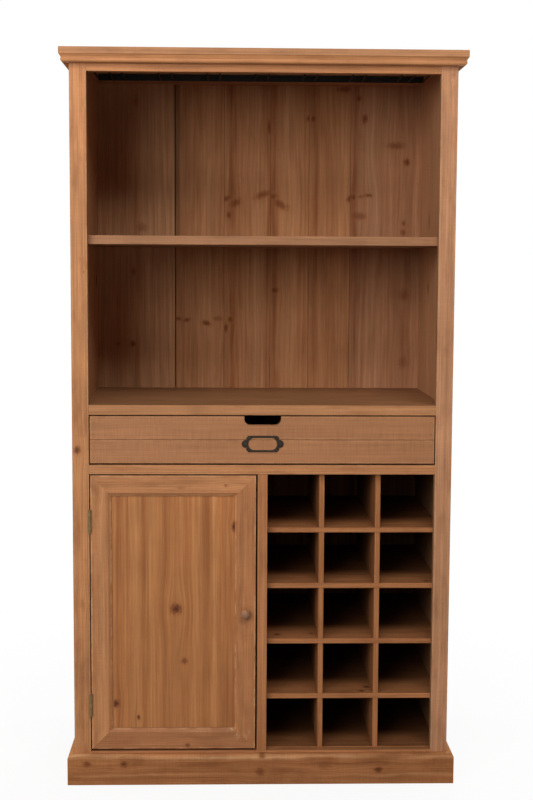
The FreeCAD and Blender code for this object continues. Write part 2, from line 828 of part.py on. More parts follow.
def hinge_seats_in_door(body):
    seats = []
    holes = []
    for middle in ("hinge_inset", "door_height - hinge_inset"):
        seats.append(rectangle(middle + " - hinge_length / 2", "-overrun",
                               middle + " + hinge_length / 2", "leaf_width"))
        for spot in hinge_screw_spots(middle):
            holes.append((spot, "leaf_width / 2", "hinge_screw_diameter / 2 + screw_clearance"))
    pocket(body, sketch(body, "XY_Plane", seats), "leaf_seat", backward=True)
    drawing = sketch(body, "XY_Plane", circles=holes)
    pocket(body, drawing, "leaf_seat + hinge_screw_length + joint_clearance", backward=True)


def door_knob():
    body = new_body("door_knob")
    spigot = "knob_spigot_diameter / 2"
    half_profile = [
        ("0", "knob_spigot_length"), (spigot, "knob_spigot_length"), (spigot, "0"),
        ("knob_base_diameter / 2", "0"), ("knob_neck_diameter / 2", "-knob_neck"),
        ("knob_radius", "-knob_rim", "knob_cheek_radius", 1),
        ("0", "-knob_projection", "(knob_radius ^ 2 + knob_dome ^ 2) / (2 * knob_dome)", -1),
    ]
    drawing = sketch(body, "XY_Plane", [half_profile])
    turned = body.newObject("PartDesign::Revolution", "Turned")
    turned.Profile = drawing
    turned.ReferenceAxis = (drawing, ["V_Axis"])
    place(body, ("door_right - door_frame_width / 2", "face_y", "door_bottom + door_height / 2"))


def build_door():
    door_member("door_rail_bottom", "door_width", ("door_left", "face_y", "door_bottom"), 0)
    door_member("door_rail_top", "door_width", ("door_right", "face_y", "door_top"), 180)
    left = door_member("door_stile_left", "door_height", ("door_left", "face_y", "door_top"), 90)
    hinge_seats_in_door(left)
    right = door_member("door_stile_right", "door_height", ("door_right", "face_y", "door_bottom"), -90)
    hole = ("door_height / 2", "door_frame_width / 2", "knob_spigot_diameter / 2 + spigot_clearance")
    pocket(right, sketch(right, "XZ_Plane", circles=[hole]), "knob_spigot_length + joint_clearance")
    slab("door_panel", ("door_left + panel_inset", "face_y + groove_front", "door_bottom + panel_inset"),
         ("door_width - 2 * panel_inset", "panel_thickness", "door_height - 2 * panel_inset"))
    door_knob()


# Butt hinges and the magnetic catch

def knuckle_low(centre, index):
    return "%s - hinge_length / 2 + %d * hinge_length / %d" % (centre, index, KNUCKLES)


def knuckle_ends(centre, index):
    """Where one knuckle starts and ends, drawn in only where another knuckle comes next."""
    low = knuckle_low(centre, index) + (" + knuckle_gap / 2" if index > 0 else "")
    high = knuckle_low(centre, index + 1) + (" - knuckle_gap / 2" if index < KNUCKLES - 1 else "")
    return low, high


def hinge_leaves(label, side, own):
    """Both leaves of one side: plates in the gap, their own knuckles, room for the other leaf's."""
    body = new_body(label)
    inner_face = sided(side, "leaf_gap / 2")
    plates = []
    for centre in hinge_centres():
        plates.append(rectangle("0", centre + " - hinge_length / 2",
                                "pin_to_face + leaf_width", centre + " + hinge_length / 2"))
    drawing = sketch(body, "YZ_Plane", plates, offset=inner_face)
    pad(body, drawing, "leaf_thickness", backward=side < 0)
    notches = []
    for centre in hinge_centres():
        for index in sorted(set(range(KNUCKLES)) - set(own)):
            low = knuckle_low(centre, index) + (" - overrun" if index == 0 else "")
            high = knuckle_low(centre, index + 1) + (" + overrun" if index == KNUCKLES - 1 else "")
            notches.append(rectangle("-overrun", low, "barrel_radius + leaf_gap", high))
    pocket(body, sketch(body, "YZ_Plane", notches))
    for centre in hinge_centres():
        for index in own:
            low, high = knuckle_ends(centre, index)
            drawing = sketch(body, "XY_Plane", circles=[("0", "0", "barrel_radius")], offset=low)
            pad(body, drawing, high + " - (" + low + ")")
    pocket(body, sketch(body, "XY_Plane", circles=[("0", "0", "pin_bore")]))
    holes = [(y, z, "hinge_screw_head / 2 + screw_clearance") for y, z in hinge_screw_places()]
    drawing = sketch(body, "YZ_Plane", circles=holes, offset=inner_face)
    pocket(body, drawing, "leaf_thickness", backward=side > 0, taper=minus(screw_taper()))
    place(body, ("pin_x", "pin_y", "0"))


def hinge_screw_places():
    spots = [spot for centre in hinge_centres() for spot in hinge_screw_spots(centre)]
    return [("pin_to_face + leaf_width / 2", spot) for spot in spots]


def screw_taper():
    return "atan((hinge_screw_head - hinge_screw_diameter) / (2 * leaf_thickness))"


def hinge_screws(label, side):
    """Countersunk screws: a head that fills the leaf's countersink, and a shank into the wood."""
    body = new_body(label)
    face = sided(side, "leaf_gap / 2")
    heads = [(y, z, "hinge_screw_head / 2") for y, z in hinge_screw_places()]
    shanks = [(y, z, "hinge_screw_diameter / 2") for y, z in hinge_screw_places()]
    drawing = sketch(body, "YZ_Plane", circles=heads, offset=face)
    pad(body, drawing, "leaf_thickness", backward=side < 0, taper=minus(screw_taper()))
    drawing = sketch(body, "YZ_Plane", circles=shanks, offset=face)
    pad(body, drawing, "leaf_thickness + hinge_screw_length", backward=side < 0)
    place(body, ("pin_x", "pin_y", "0"))


def hinge_pins():
    """A headed pin through each barrel, with a cap on both ends."""
    body = new_body("hinge_pins")
    for centre in hinge_centres():
        low = centre + " - hinge_length / 2"
        high = centre + " + hinge_length / 2"
        shaft = sketch(body, "XY_Plane", circles=[("0", "0", "pin_diameter / 2")], offset=low)
        pad(body, shaft, "hinge_length")
        for level, backward in ((low, True), (high, False)):
            cap = sketch(body, "XY_Plane", circles=[("0", "0", "pin_head_diameter / 2")], offset=level)
            pad(body, cap, "pin_head_height", backward=backward)
    place(body, ("pin_x", "pin_y", "0"))


def build_hinges_and_catch():
    hinge_leaves("hinge_frame_leaves", -1, (0, 2))
    hinge_leaves("hinge_door_leaves", 1, (1,))
    hinge_pins()
    hinge_screws("hinge_frame_screws", -1)
    hinge_screws("hinge_door_screws", 1)
    level = "door_top - catch_inset"
    front = "face_y + door_thickness + strike_thickness + catch_gap"
    catch = slab("magnet_catch", ("partition_left - catch_width", front, level),
                 ("catch_width", "catch_depth", "catch_height"))
    slot = rectangle("catch_slot", "-overrun", "catch_width - catch_slot", "catch_slot / 2")
    ease(catch, runs("z", x="0"))
    pocket(catch, sketch(catch, "XY_Plane", [slot], offset="catch_height / 2 + catch_slot / 2"), "catch_slot")
    slab("catch_strike", ("door_right - strike_inset - strike_width", "face_y + door_thickness", level),
         ("strike_width", "strike_thickness", "catch_height"))


# Drawer: two front boards, a grooved box, and the L-shaped runners that carry it

def end_rebates(body, left):
    """Cut the back corners of a front board, whose left end is at left, for the drawer sides."""
    low, high = "drawer_front_thickness - drawer_rebate", "drawer_front_thickness"
    right = left + " + 2 * drawer_half"
    near = rectangle(left, low, left + " + drawer_wall", high)
    far = rectangle(right + " - drawer_wall", low, right, high)
    pocket(body, sketch(body, "XY_Plane", [near, far]))


def drawer_front_upper():
    """The upper board, with the finger cut-out in the middle of its top edge."""
    body = new_body("drawer_front_upper")
    low = "drawer_board - finger_depth"
    bend = low + " + finger_radius"
    outline = [
        ("-drawer_half", "0"), ("drawer_half", "0"), ("drawer_half", "drawer_board"),
        ("finger_half_width", "drawer_board"), ("finger_half_width", bend),
        ("finger_half_width - finger_radius", low, "finger_radius", -1),
        ("finger_radius - finger_half_width", low),
        ("-finger_half_width", bend, "finger_radius", -1),
        ("-finger_half_width", "drawer_board"), ("-drawer_half", "drawer_board"),
    ]
    pad(body, sketch(body, "XZ_Plane", [outline]), "drawer_front_thickness", backward=True)
    chamfer(body, runs("x", y="0", z="0"), size="drawer_joint_chamfer")
    ease(body, runs("z", y="0", x="drawer_half"), runs("z", y="0", x="-drawer_half"))
    end_rebates(body, "-drawer_half")
    place(body, ("0", "face_y", "drawer_joint_z"))


def label_screw_spots():
    return [(sided(side, "ear_centre"), "label_z - drawer_bottom_z") for side in (-1, 1)]


def drawer_front_lower():
    """The lower board, with a stopped groove for the bottom and pilot holes for the label holder."""
    corner = ("-drawer_half", "face_y", "drawer_bottom_z")
    body = slab("drawer_front_lower", corner, ("2 * drawer_half", "drawer_front_thickness", "drawer_board"))
    chamfer(body, runs("x", y="0", z="drawer_board"), size="drawer_joint_chamfer")
    ease(body, runs("z", y="0"), runs("x", y="0", z="0"))
    end_rebates(body, "0")
    groove = rectangle("drawer_wall", "drawer_bottom_lift", "2 * drawer_half - drawer_wall", "drawer_floor")
    drawing = sketch(body, "XZ_Plane", [groove], offset="-drawer_front_thickness")
    pocket(body, drawing, "drawer_groove", backward=True)
    holes = []
    for across, up in label_screw_spots():
        holes.append((across + " + drawer_half", up, "label_screw_diameter / 2 + screw_clearance"))
    pocket(body, sketch(body, "XZ_Plane", circles=holes), "label_screw_length + joint_clearance")


def drawer_side(label, side):
    left = "drawer_half - drawer_wall" if side > 0 else "-drawer_half"
    body = slab(label, (left, "drawer_wall_y", "drawer_bottom_z"),
                ("drawer_wall", "drawer_wall_length", "drawer_wall_height"))
    inner, groove = ("0", "drawer_groove") if side > 0 else ("drawer_wall - drawer_groove", "drawer_wall")
    ease(body, runs("y", z="drawer_wall_height"))
    channel = rectangle(inner, "drawer_bottom_lift", groove, "drawer_floor")
    pocket(body, sketch(body, "XZ_Plane", [channel]))
    rear = "drawer_wall_length - drawer_back_inset"
    housing = rectangle(inner, rear + " - drawer_wall", groove, rear)
    drawing = sketch(body, "XY_Plane", [housing], offset="drawer_floor")
    pocket(body, drawing, "drawer_wall_height - drawer_floor", backward=True)


def drawer_box():
    for label, side in (("drawer_side_left", -1), ("drawer_side_right", 1)):
        drawer_side(label, side)
    housed = "(drawer_half - drawer_wall + drawer_groove - joint_clearance)"
    rear = "drawer_wall_y + drawer_wall_length - drawer_back_inset"
    slab("drawer_back", (minus(housed), rear + " - drawer_wall", "drawer_bottom_z + drawer_floor"),
         ("2 * " + housed, "drawer_wall", "drawer_wall_height - drawer_floor - drawer_back_drop"))
    front = "(face_y + drawer_front_thickness - drawer_groove + joint_clearance)"
    slab("drawer_bottom", (minus(housed), front, "drawer_bottom_z + drawer_bottom_lift"),
         ("2 * " + housed, "drawer_wall_y + drawer_wall_length - " + front, "drawer_bottom_thickness"))


def drawer_runner(label, side):
    """An L-section: the ledge carries the drawer side, the upright leg guides it."""
    body = new_body(label)
    guide = "(drawer_half + runner_clearance)"
    ledge = "(drawer_half - runner_ledge)"
    section = [("inner_half", "0"), ("inner_half", "runner_guide"), (guide, "runner_guide"),
               (guide, "runner_height"), (ledge, "runner_height"), (ledge, "0")]
    section = [(sided(side, across), up) for across, up in section]
    pad(body, sketch(body, "XZ_Plane", [section]), "inner_depth", backward=True)
    place(body, ("0", "frame_back_y", "deck_top"))


def label_holder():
    """A clipped plate with a round-ended window, an ear at each end and a slot behind for a card."""
    body = new_body("label_holder")
    side, top = "label_width / 2", "label_height / 2"
    ear = "label_ear_radius"
    plate = [
        ("label_clip - " + side, minus(top)), (side + " - label_clip", minus(top)),
        (side, "label_clip - " + top), (side, minus(ear)), ("ear_centre", minus(ear)),
        ("ear_centre + " + ear, "0", ear, 1), ("ear_centre", ear, ear, 1), (side, ear),
        (side, top + " - label_clip"), (side + " - label_clip", top), ("label_clip - " + side, top),
        (minus(side), top + " - label_clip"), (minus(side), ear), ("-ear_centre", ear),
        ("-ear_centre - " + ear, "0", ear, 1), ("-ear_centre", minus(ear), ear, 1), (minus(side), minus(ear)),
        (minus(side), "label_clip - " + top),
    ]
    wide, high, bend = "label_window_width / 2", "label_window_height / 2", "label_window_radius"
    window = [
        (bend + " - " + wide, minus(high), bend, 1), (wide + " - " + bend, minus(high)),
        (wide, bend + " - " + high, bend, 1), (wide, high + " - " + bend),
        (wide + " - " + bend, high, bend, 1), (bend + " - " + wide, high),
        (minus(wide), high + " - " + bend, bend, 1), (minus(wide), bend + " - " + high),
    ]
    pad(body, sketch(body, "XZ_Plane", [plate]), "label_thickness")
    pocket(body, sketch(body, "XZ_Plane", [window]))
    ease(body, lies_at("-label_thickness"), radius="label_rounding")
    margin = "label_card_margin"
    card = rectangle(minus(wide) + " - " + margin, minus(high) + " - " + margin, wide + " + " + margin,
                     top + " + overrun")
    pocket(body, sketch(body, "XZ_Plane", [card]), "label_card_slot", backward=True)
    holes = [(sided(end, "ear_centre"), "0", "label_screw_diameter / 2 + screw_clearance") for end in (-1, 1)]
    pocket(body, sketch(body, "XZ_Plane", circles=holes))
    place(body, ("0", "face_y", "label_z"))


def label_screws():
    body = new_body("label_screws")
    spots = [sided(end, "ear_centre") for end in (-1, 1)]
    shanks = [(spot, "0", "label_screw_diameter / 2") for spot in spots]
    pad(body, sketch(body, "XZ_Plane", circles=shanks, offset="label_thickness"),
        "label_thickness + label_screw_length", backward=True)
    heads = [(spot, "0", "label_screw_head / 2") for spot in spots]
    pad(body, sketch(body, "XZ_Plane", circles=heads, offset="label_thickness"), "label_screw_dome")
    ease(body, lies_at("-label_thickness - label_screw_dome"), radius="label_screw_dome * label_dome_share")
    place(body, ("0", "face_y", "label_z"))


def build_drawer():
    drawer_front_upper()
    drawer_front_lower()
    drawer_box()
    drawer_runner("drawer_runner_left", -1)
    drawer_runner("drawer_runner_right", 1)
    label_holder()
    label_screws()


# Stemware rack under the top: an angle bar behind, wire loops that leave channels, hangers in front

def stem_rear_bar():
    body = new_body("stem_rear_bar")
    web, flange = "stem_strap_thickness", "stem_strap_thickness + stem_flange_width"
    under, top = "stem_bar_height - stem_strap_thickness", "stem_bar_height"
    section = [("0", "0"), (web, "0"), (web, under), (flange, under), (flange, top), ("0", top)]
    pad(body, sketch(body, "YZ_Plane", [section]), "stem_bar_length")
    holes = []
    for across in STEM_BAR_SCREWS:
        holes.append((across + " + stem_bar_length / 2", "stem_strap_thickness + stem_flange_width / 2",
                      "stem_screw_diameter / 2 + screw_clearance"))
    pocket(body, sketch(body, "XY_Plane", circles=holes))
    place(body, ("-stem_bar_length / 2", "stem_bar_y", "stem_bottom"))


def stem_wires():
    """Hairpin loops from the bar to the front. Their rounded corners flare each channel's mouth."""
    body = new_body("stem_wires")
    middles = stem_middles()
    for index, middle in enumerate(middles):
        width = "stem_end_loop_width" if index in (0, len(middles) - 1) else "(stem_pitch - stem_slot_width)"
        left, right = middle + " - " + width + " / 2", middle + " + " + width + " / 2"
        bend = "stem_bend_radius"
        front, turn = "-stem_run", "stem_bend_radius - stem_run"
        route = [(left, "0"), (left, turn), (left + " + " + bend, front, bend, 1),
                 (right + " - " + bend, front), (right, turn, bend, 1), (right, "0")]
        path = sketch(body, "XY_Plane", [route], closed=False)
        section = sketch(body, "XZ_Plane", circles=[(left, "0", "stem_wire_diameter / 2")])
        loop = body.newObject("PartDesign::AdditivePipe", "Loop")
        loop.Profile = section
        loop.Spine = (path, [])
        doc.recompute()
    place(body, ("0", "stem_bar_y", "stem_bottom + stem_wire_diameter / 2"))


def stem_hangers():
    body = new_body("stem_hangers")
    webs = []
    flanges = []
    holes = []
    half, strap = "stem_hanger_width / 2", "stem_strap_thickness"
    for middle in stem_middles():
        left, right = middle + " - " + half, middle + " + " + half
        webs.append(rectangle(left, "0", right, strap))
        flanges.append(rectangle(left, strap + " - stem_flange_width", right, strap))
        holes.append((middle, strap + " - stem_flange_width / 2",
                      "stem_screw_diameter / 2 + screw_clearance"))
    pad(body, sketch(body, "XY_Plane", webs), "stem_bar_height")
    pad(body, sketch(body, "XY_Plane", flanges, offset="stem_bar_height - " + strap), strap)
    pocket(body, sketch(body, "XY_Plane", circles=holes))
    place(body, ("0", "stem_web_y", "stem_bottom"))


def stem_screws():
    body = new_body("stem_screws")
    spots = stem_screw_spots()
    shanks = [(across, deep, "stem_screw_diameter / 2") for across, deep in spots]
    heads = [(across, deep, "stem_screw_head_diameter / 2") for across, deep in spots]
    pad(body, sketch(body, "XY_Plane", circles=shanks), "stem_strap_thickness + stem_screw_grip_length")
    pad(body, sketch(body, "XY_Plane", circles=heads), "stem_screw_dome_height", backward=True)
    place(body, ("0", "0", "ceiling - stem_strap_thickness"))


def build_stemware_rack():
    stem_rear_bar()
    stem_wires()
    stem_hangers()
    stem_screws()


build_face_frame()
build_carcass()
build_bottle_rack()
build_top_and_base()
build_door()
build_hinges_and_catch()
build_drawer()
build_stemware_rack()
doc.recompute()

for item in doc.Objects:
    if "Invalid" in item.State or "Error" in item.State:
        raise RuntimeError("%s failed: %s" % (item.Label, item.State))
for piece in pieces:
    if piece.Shape.isNull() or not piece.Shape.isValid():
        raise RuntimeError("%s has no valid shape" % piece.Label)

os.makedirs("parts", exist_ok=True)
for piece in pieces:
    piece.Shape.exportStep(os.path.join("parts", piece.Label + ".step"))
print("%d pieces written" % len(pieces))
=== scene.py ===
"""Looks of the wine cabinet: its finishes, small fittings, light and camera, around the fixed frame."""

import functools
import logging
import math
import operator
import random
from collections.abc import Iterable, Mapping, Sequence
from dataclasses import dataclass
from enum import Enum
from typing import Any, ClassVar, Union

import bmesh
import bpy
from mathutils import Color, Matrix, Vector


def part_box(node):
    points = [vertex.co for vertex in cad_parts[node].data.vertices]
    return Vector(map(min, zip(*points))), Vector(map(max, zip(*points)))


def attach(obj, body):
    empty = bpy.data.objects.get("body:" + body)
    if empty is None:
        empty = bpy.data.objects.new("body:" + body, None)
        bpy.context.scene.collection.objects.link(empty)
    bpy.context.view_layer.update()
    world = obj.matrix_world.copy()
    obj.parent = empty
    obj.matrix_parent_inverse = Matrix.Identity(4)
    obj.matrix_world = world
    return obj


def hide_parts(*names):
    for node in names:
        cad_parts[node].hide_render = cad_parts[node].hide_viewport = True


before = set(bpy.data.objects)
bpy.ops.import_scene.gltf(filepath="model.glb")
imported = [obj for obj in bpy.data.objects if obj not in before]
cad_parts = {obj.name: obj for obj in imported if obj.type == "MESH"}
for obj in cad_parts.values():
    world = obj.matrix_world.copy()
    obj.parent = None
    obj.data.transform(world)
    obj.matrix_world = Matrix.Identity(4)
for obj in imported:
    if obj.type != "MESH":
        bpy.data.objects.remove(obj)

Triple = tuple[float, float, float]
Pair = tuple[float, float]
Colour = Triple
Edge = Pair
Value = Union["Wire", float, Triple]

IMAGE_HEIGHT = 800
SCREEN_STEPS = 255
MM = 0.001
FAR = 9.0
WHITE: Colour = (1.0, 1.0, 1.0)
NOISE_ROUGHNESS = 0.55

log = logging.getLogger("cabinet")


def shown(red: int, green: int, blue: int) -> Colour:
    """Turn a colour as a screen shows it, in steps from 0 to 255, into a linear one."""
    steps = Color((red / SCREEN_STEPS, green / SCREEN_STEPS, blue / SCREEN_STEPS))
    return tuple(steps.from_srgb_to_scene_linear())


def drift(draw: random.Random, reach: float) -> Triple:
    """A shift of a finish's noise along each axis, the same every time for one seed."""
    return tuple(draw.uniform(-reach, reach) for _ in range(3))


class Wire:
    """A node output that takes part in arithmetic, as a number or as a vector by its socket."""

    def __init__(self, graph: "Graph", socket: bpy.types.NodeSocket) -> None:
        """Keep an output socket and the graph that new nodes are added to."""
        self.graph = graph
        self.socket = socket

    @property
    def wide(self) -> bool:
        """Whether the socket carries a vector or a colour."""
        return self.socket.type in {"VECTOR", "RGBA"}

    def also(self, output: int | str) -> "Wire":
        """Another output of the same node."""
        return Wire(self.graph, self.socket.node.outputs[output])

    def _join(self, operation: str, first: Value, second: Value) -> "Wire":
        """Work out one operation on two values.

        Args:
            operation: Name of the operation, the same in both math nodes.
            first: Left value.
            second: Right value.

        Returns:
            The result.
        """
        broad = any(isinstance(v, tuple) or (isinstance(v, Wire) and v.wide) for v in (first, second))
        kind = "ShaderNodeVectorMath" if broad else "ShaderNodeMath"
        return self.graph.node(kind, {"operation": operation}, {0: first, 1: second})

    def _alone(self, operation: str) -> "Wire":
        """Work out one operation on this number."""
        return self.graph.node("ShaderNodeMath", {"operation": operation}, {0: self})

    def __add__(self, other: Value) -> "Wire":
        """Sum with a value on the right."""
        return self._join("ADD", self, other)

    def __radd__(self, other: Value) -> "Wire":
        """Sum with a value on the left."""
        return self._join("ADD", other, self)

    def __sub__(self, other: Value) -> "Wire":
        """Difference from a value on the right."""
        return self._join("SUBTRACT", self, other)

    def __rsub__(self, other: Value) -> "Wire":
        """Difference from a value on the left."""
        return self._join("SUBTRACT", other, self)

    def __mul__(self, other: Value) -> "Wire":
        """Product with a value on the right."""
        return self._join("MULTIPLY", self, other)

    def __rmul__(self, other: Value) -> "Wire":
        """Product with a value on the left."""
        return self._join("MULTIPLY", other, self)

    def __truediv__(self, other: Value) -> "Wire":
        """Quotient by a value on the right."""
        return self._join("DIVIDE", self, other)

    def __rtruediv__(self, other: Value) -> "Wire":
        """Quotient of a value on the left."""
        return self._join("DIVIDE", other, self)

    def __neg__(self) -> "Wire":
        """The value with its sign turned."""
        return self * -1.0

    def least(self, other: Value) -> "Wire":
        """The smaller of two numbers."""
        return self._join("MINIMUM", self, other)

    def root(self) -> "Wire":
        """The square root."""
        return self._alone("SQRT")

    def fraction(self) -> "Wire":
        """The part after the point."""
        return self._alone("FRACT")

    def exponential(self) -> "Wire":
        """The natural exponential."""
        return self._alone("EXPONENT")

    def sine(self) -> "Wire":
        """The sine."""
        return self._alone("SINE")

    def between(self, low: float, high: float) -> "Wire":
        """Rise smoothly from 0 to 1 as the number goes from low to high."""
        inputs = {"Value": self, "From Min": low, "From Max": high}
        return self.graph.node("ShaderNodeMapRange", {"interpolation_type": "SMOOTHSTEP"}, inputs)

    def centred(self) -> "Wire":
        """A noise about zero instead of about one half."""
        return self - 0.5

    def swing(self, reach: float) -> "Wire":
        """A factor that goes from one less the reach to one more as a noise goes from 0 to 1."""
        return self.centred() * (2.0 * reach) + 1.0


class Graph:
    """The node tree of one material or of the world."""

    mix_inputs: ClassVar[Sequence[int]] = (0, 6, 7)
    mix_output: ClassVar[int] = 2

    def __init__(self, tree: bpy.types.NodeTree) -> None:
        """Keep the node tree to build in and empty it."""
        self.tree = tree
        tree.nodes.clear()

    def node(
        self,
        kind: str,
        settings: Mapping[str, Any] | None = None,
        inputs: Mapping[int | str, Value] | None = None,
        output: int | str = 0,
    ) -> Wire:
        """Add a node.

        Args:
            kind: Type of the node.
            settings: Properties, set before the inputs.
            inputs: Values or links by socket name or number.
            output: Name or number of the output to return.

        Returns:
            The chosen output.
        """
        made = self.tree.nodes.new(kind)
        for name, setting in (settings or {}).items():
            setattr(made, name, setting)
        for key, given in (inputs or {}).items():
            self._feed(made.inputs[key], given)
        return Wire(self, made.outputs[output])

    def _feed(self, socket: bpy.types.NodeSocket, given: Value) -> None:
        """Link a wire to an input, or set the input's own value.

        Args:
            socket: The input socket.
            given: The wire, number or colour.
        """
        if isinstance(given, Wire):
            self.tree.links.new(given.socket, socket)
        elif socket.type == "RGBA":
            socket.default_value = (*given, 1.0)
        elif socket.type == "VECTOR" and not isinstance(given, tuple):
            socket.default_value = (given,) * 3
        else:
            socket.default_value = given

    def mix(self, share: Value, first: Value, second: Value) -> Wire:
        """Blend two colours by the share of the second, from 0 to 1."""
        inputs = dict(zip(self.mix_inputs, (share, first, second)))
        return self.node("ShaderNodeMix", {"data_type": "RGBA"}, inputs, self.mix_output)

    def noise(self, vector: Wire, scale: float, detail: float) -> Wire:
        """Soft noise around one half, by its spots per unit of the vector and its number of finer layers."""
        inputs = {"Vector": vector, "Scale": scale, "Detail": detail, "Roughness": NOISE_ROUGHNESS}
        return self.node("ShaderNodeTexNoise", inputs=inputs)

    def bump(self, height: Wire, distance: float, strength: float) -> Wire:
        """Turn a height into a normal, by the size of its unit in metres and the share of the effect."""
        inputs = {"Height": height, "Distance": distance, "Strength": strength}
        return self.node("ShaderNodeBump", inputs=inputs)

    def surface(self, inputs: Mapping[str, Value]) -> None:
        """Add the main shader with these inputs and link it to the material's output."""
        self.close(self.node("ShaderNodeBsdfPrincipled", None, inputs), "ShaderNodeOutputMaterial")

    def close(self, shader: Wire, kind: str) -> None:
        """Link a shader to a new output node of the tree."""
        end = self.tree.nodes.new(kind)
        self.tree.links.new(shader.socket, end.inputs["Surface"])


class Grain(Enum):
    """Axes of a board, as the numbers of the axes along the fibre, across the face and into it."""

    UPRIGHT = (2, 0, 1)
    UPRIGHT_SIDE = (2, 1, 0)
    LEVEL = (0, 2, 1)
    SHELF = (0, 1, 2)
    DEEP_SIDE = (1, 2, 0)
    DEEP_FLAT = (1, 0, 2)


@dataclass(frozen=True)
class Box:
    """The room that a piece takes at rest, in metres."""

    low: Triple
    high: Triple

    @classmethod
    def of(cls, piece: bpy.types.Object) -> "Box":
        """The box of a piece's mesh, which holds its place in its vertices."""
        corners = [tuple(v.co) for v in piece.data.vertices]
        return cls(tuple(map(min, zip(*corners))), tuple(map(max, zip(*corners))))


@dataclass(frozen=True)
class Knot:
    """A knot in a board, by its place along and across the fibre, in metres."""

    along: float
    across: float
    radius: float
    depth: float = 0.9
    stretch: float = 1.15
    tilt: float = 0.0


@dataclass(frozen=True)
class Streak:
    """A band of darker wood along the fibre, or of paler wood if its depth is below zero."""

    across: float
    width: float
    depth: float


@dataclass(frozen=True)
class Scuff:
    """A rubbed pale spot, by its place along and across the fibre and its half sizes, in metres."""

    along: float
    across: float
    length: float
    width: float
    strength: float


@dataclass(frozen=True)
class PaintedShade:
    """A room of painted shade, with the share of colour that is left there and its soft edge."""

    room: Box
    share: float
    soft: float


@dataclass(frozen=True)
class Stain:
    """The colours of a stained wood."""

    pale: Colour
    ruddy: Colour
    deep: Colour
    knot: Colour = shown(74, 37, 18)
    worn: Colour = shown(216, 168, 122)


@dataclass(frozen=True)
class Finish:
    """A finish that a piece can be given."""

    def paint(self, graph: Graph, box: Box) -> None:
        """Build the finish in the graph of an empty material, for a piece that takes up a box."""
        raise NotImplementedError

    def dress(self, piece: bpy.types.Object) -> None:
        """Give a piece its own material of this finish.

        Args:
            piece: The piece.
        """
        material = bpy.data.materials.new(piece.name + "_finish")
        material.use_nodes = True
        self.paint(Graph(material.node_tree), Box.of(piece))
        if not piece.material_slots:
            piece.data.materials.append(None)
        for slot in piece.material_slots:
            slot.link = "OBJECT"
            slot.material = material


@dataclass(frozen=True)
class Layer:
    """Noise drawn out along the fibre: its spots per metre, their length in widths, and its finer layers."""

    per_metre: float
    stretch: float
    detail: float


@dataclass(frozen=True)
class Board:
    """The places on one board's surface that its finish is worked out from."""

    graph: Graph
    place: Wire
    along: Wire
    across: Wire
    depth: Wire
    shift: Triple

    def fibre(self, side: Wire, layer: Layer) -> Wire:
        """Noise drawn out along the fibre.

        Args:
            side: Place across the fibre.
            layer: The noise's spots.

        Returns:
            The noise as a number.
        """
        parts = {
            0: side * layer.per_metre + self.shift[0],
            1: self.along * (layer.per_metre / layer.stretch) + self.shift[1],
            2: self.depth * layer.per_metre + self.shift[2],
        }
        return self.graph.noise(self.graph.node("ShaderNodeCombineXYZ", None, parts), 1.0, layer.detail)

    def spots(self, per_metre: float, detail: float) -> Wire:
        """Noise that is the same in all directions."""
        return self.graph.noise(self.place + self.shift, per_metre, detail)

    def strokes(self, per_metre: float, length: float, detail: float) -> Wire:
        """Noise in strokes square to the fibre, by their number and length in metres and its finer layers."""
        parts = {0: self.along * per_metre + self.shift[0], 1: self.across / length + self.shift[1]}
        return self.graph.noise(self.graph.node("ShaderNodeCombineXYZ", None, parts), 1.0, detail)


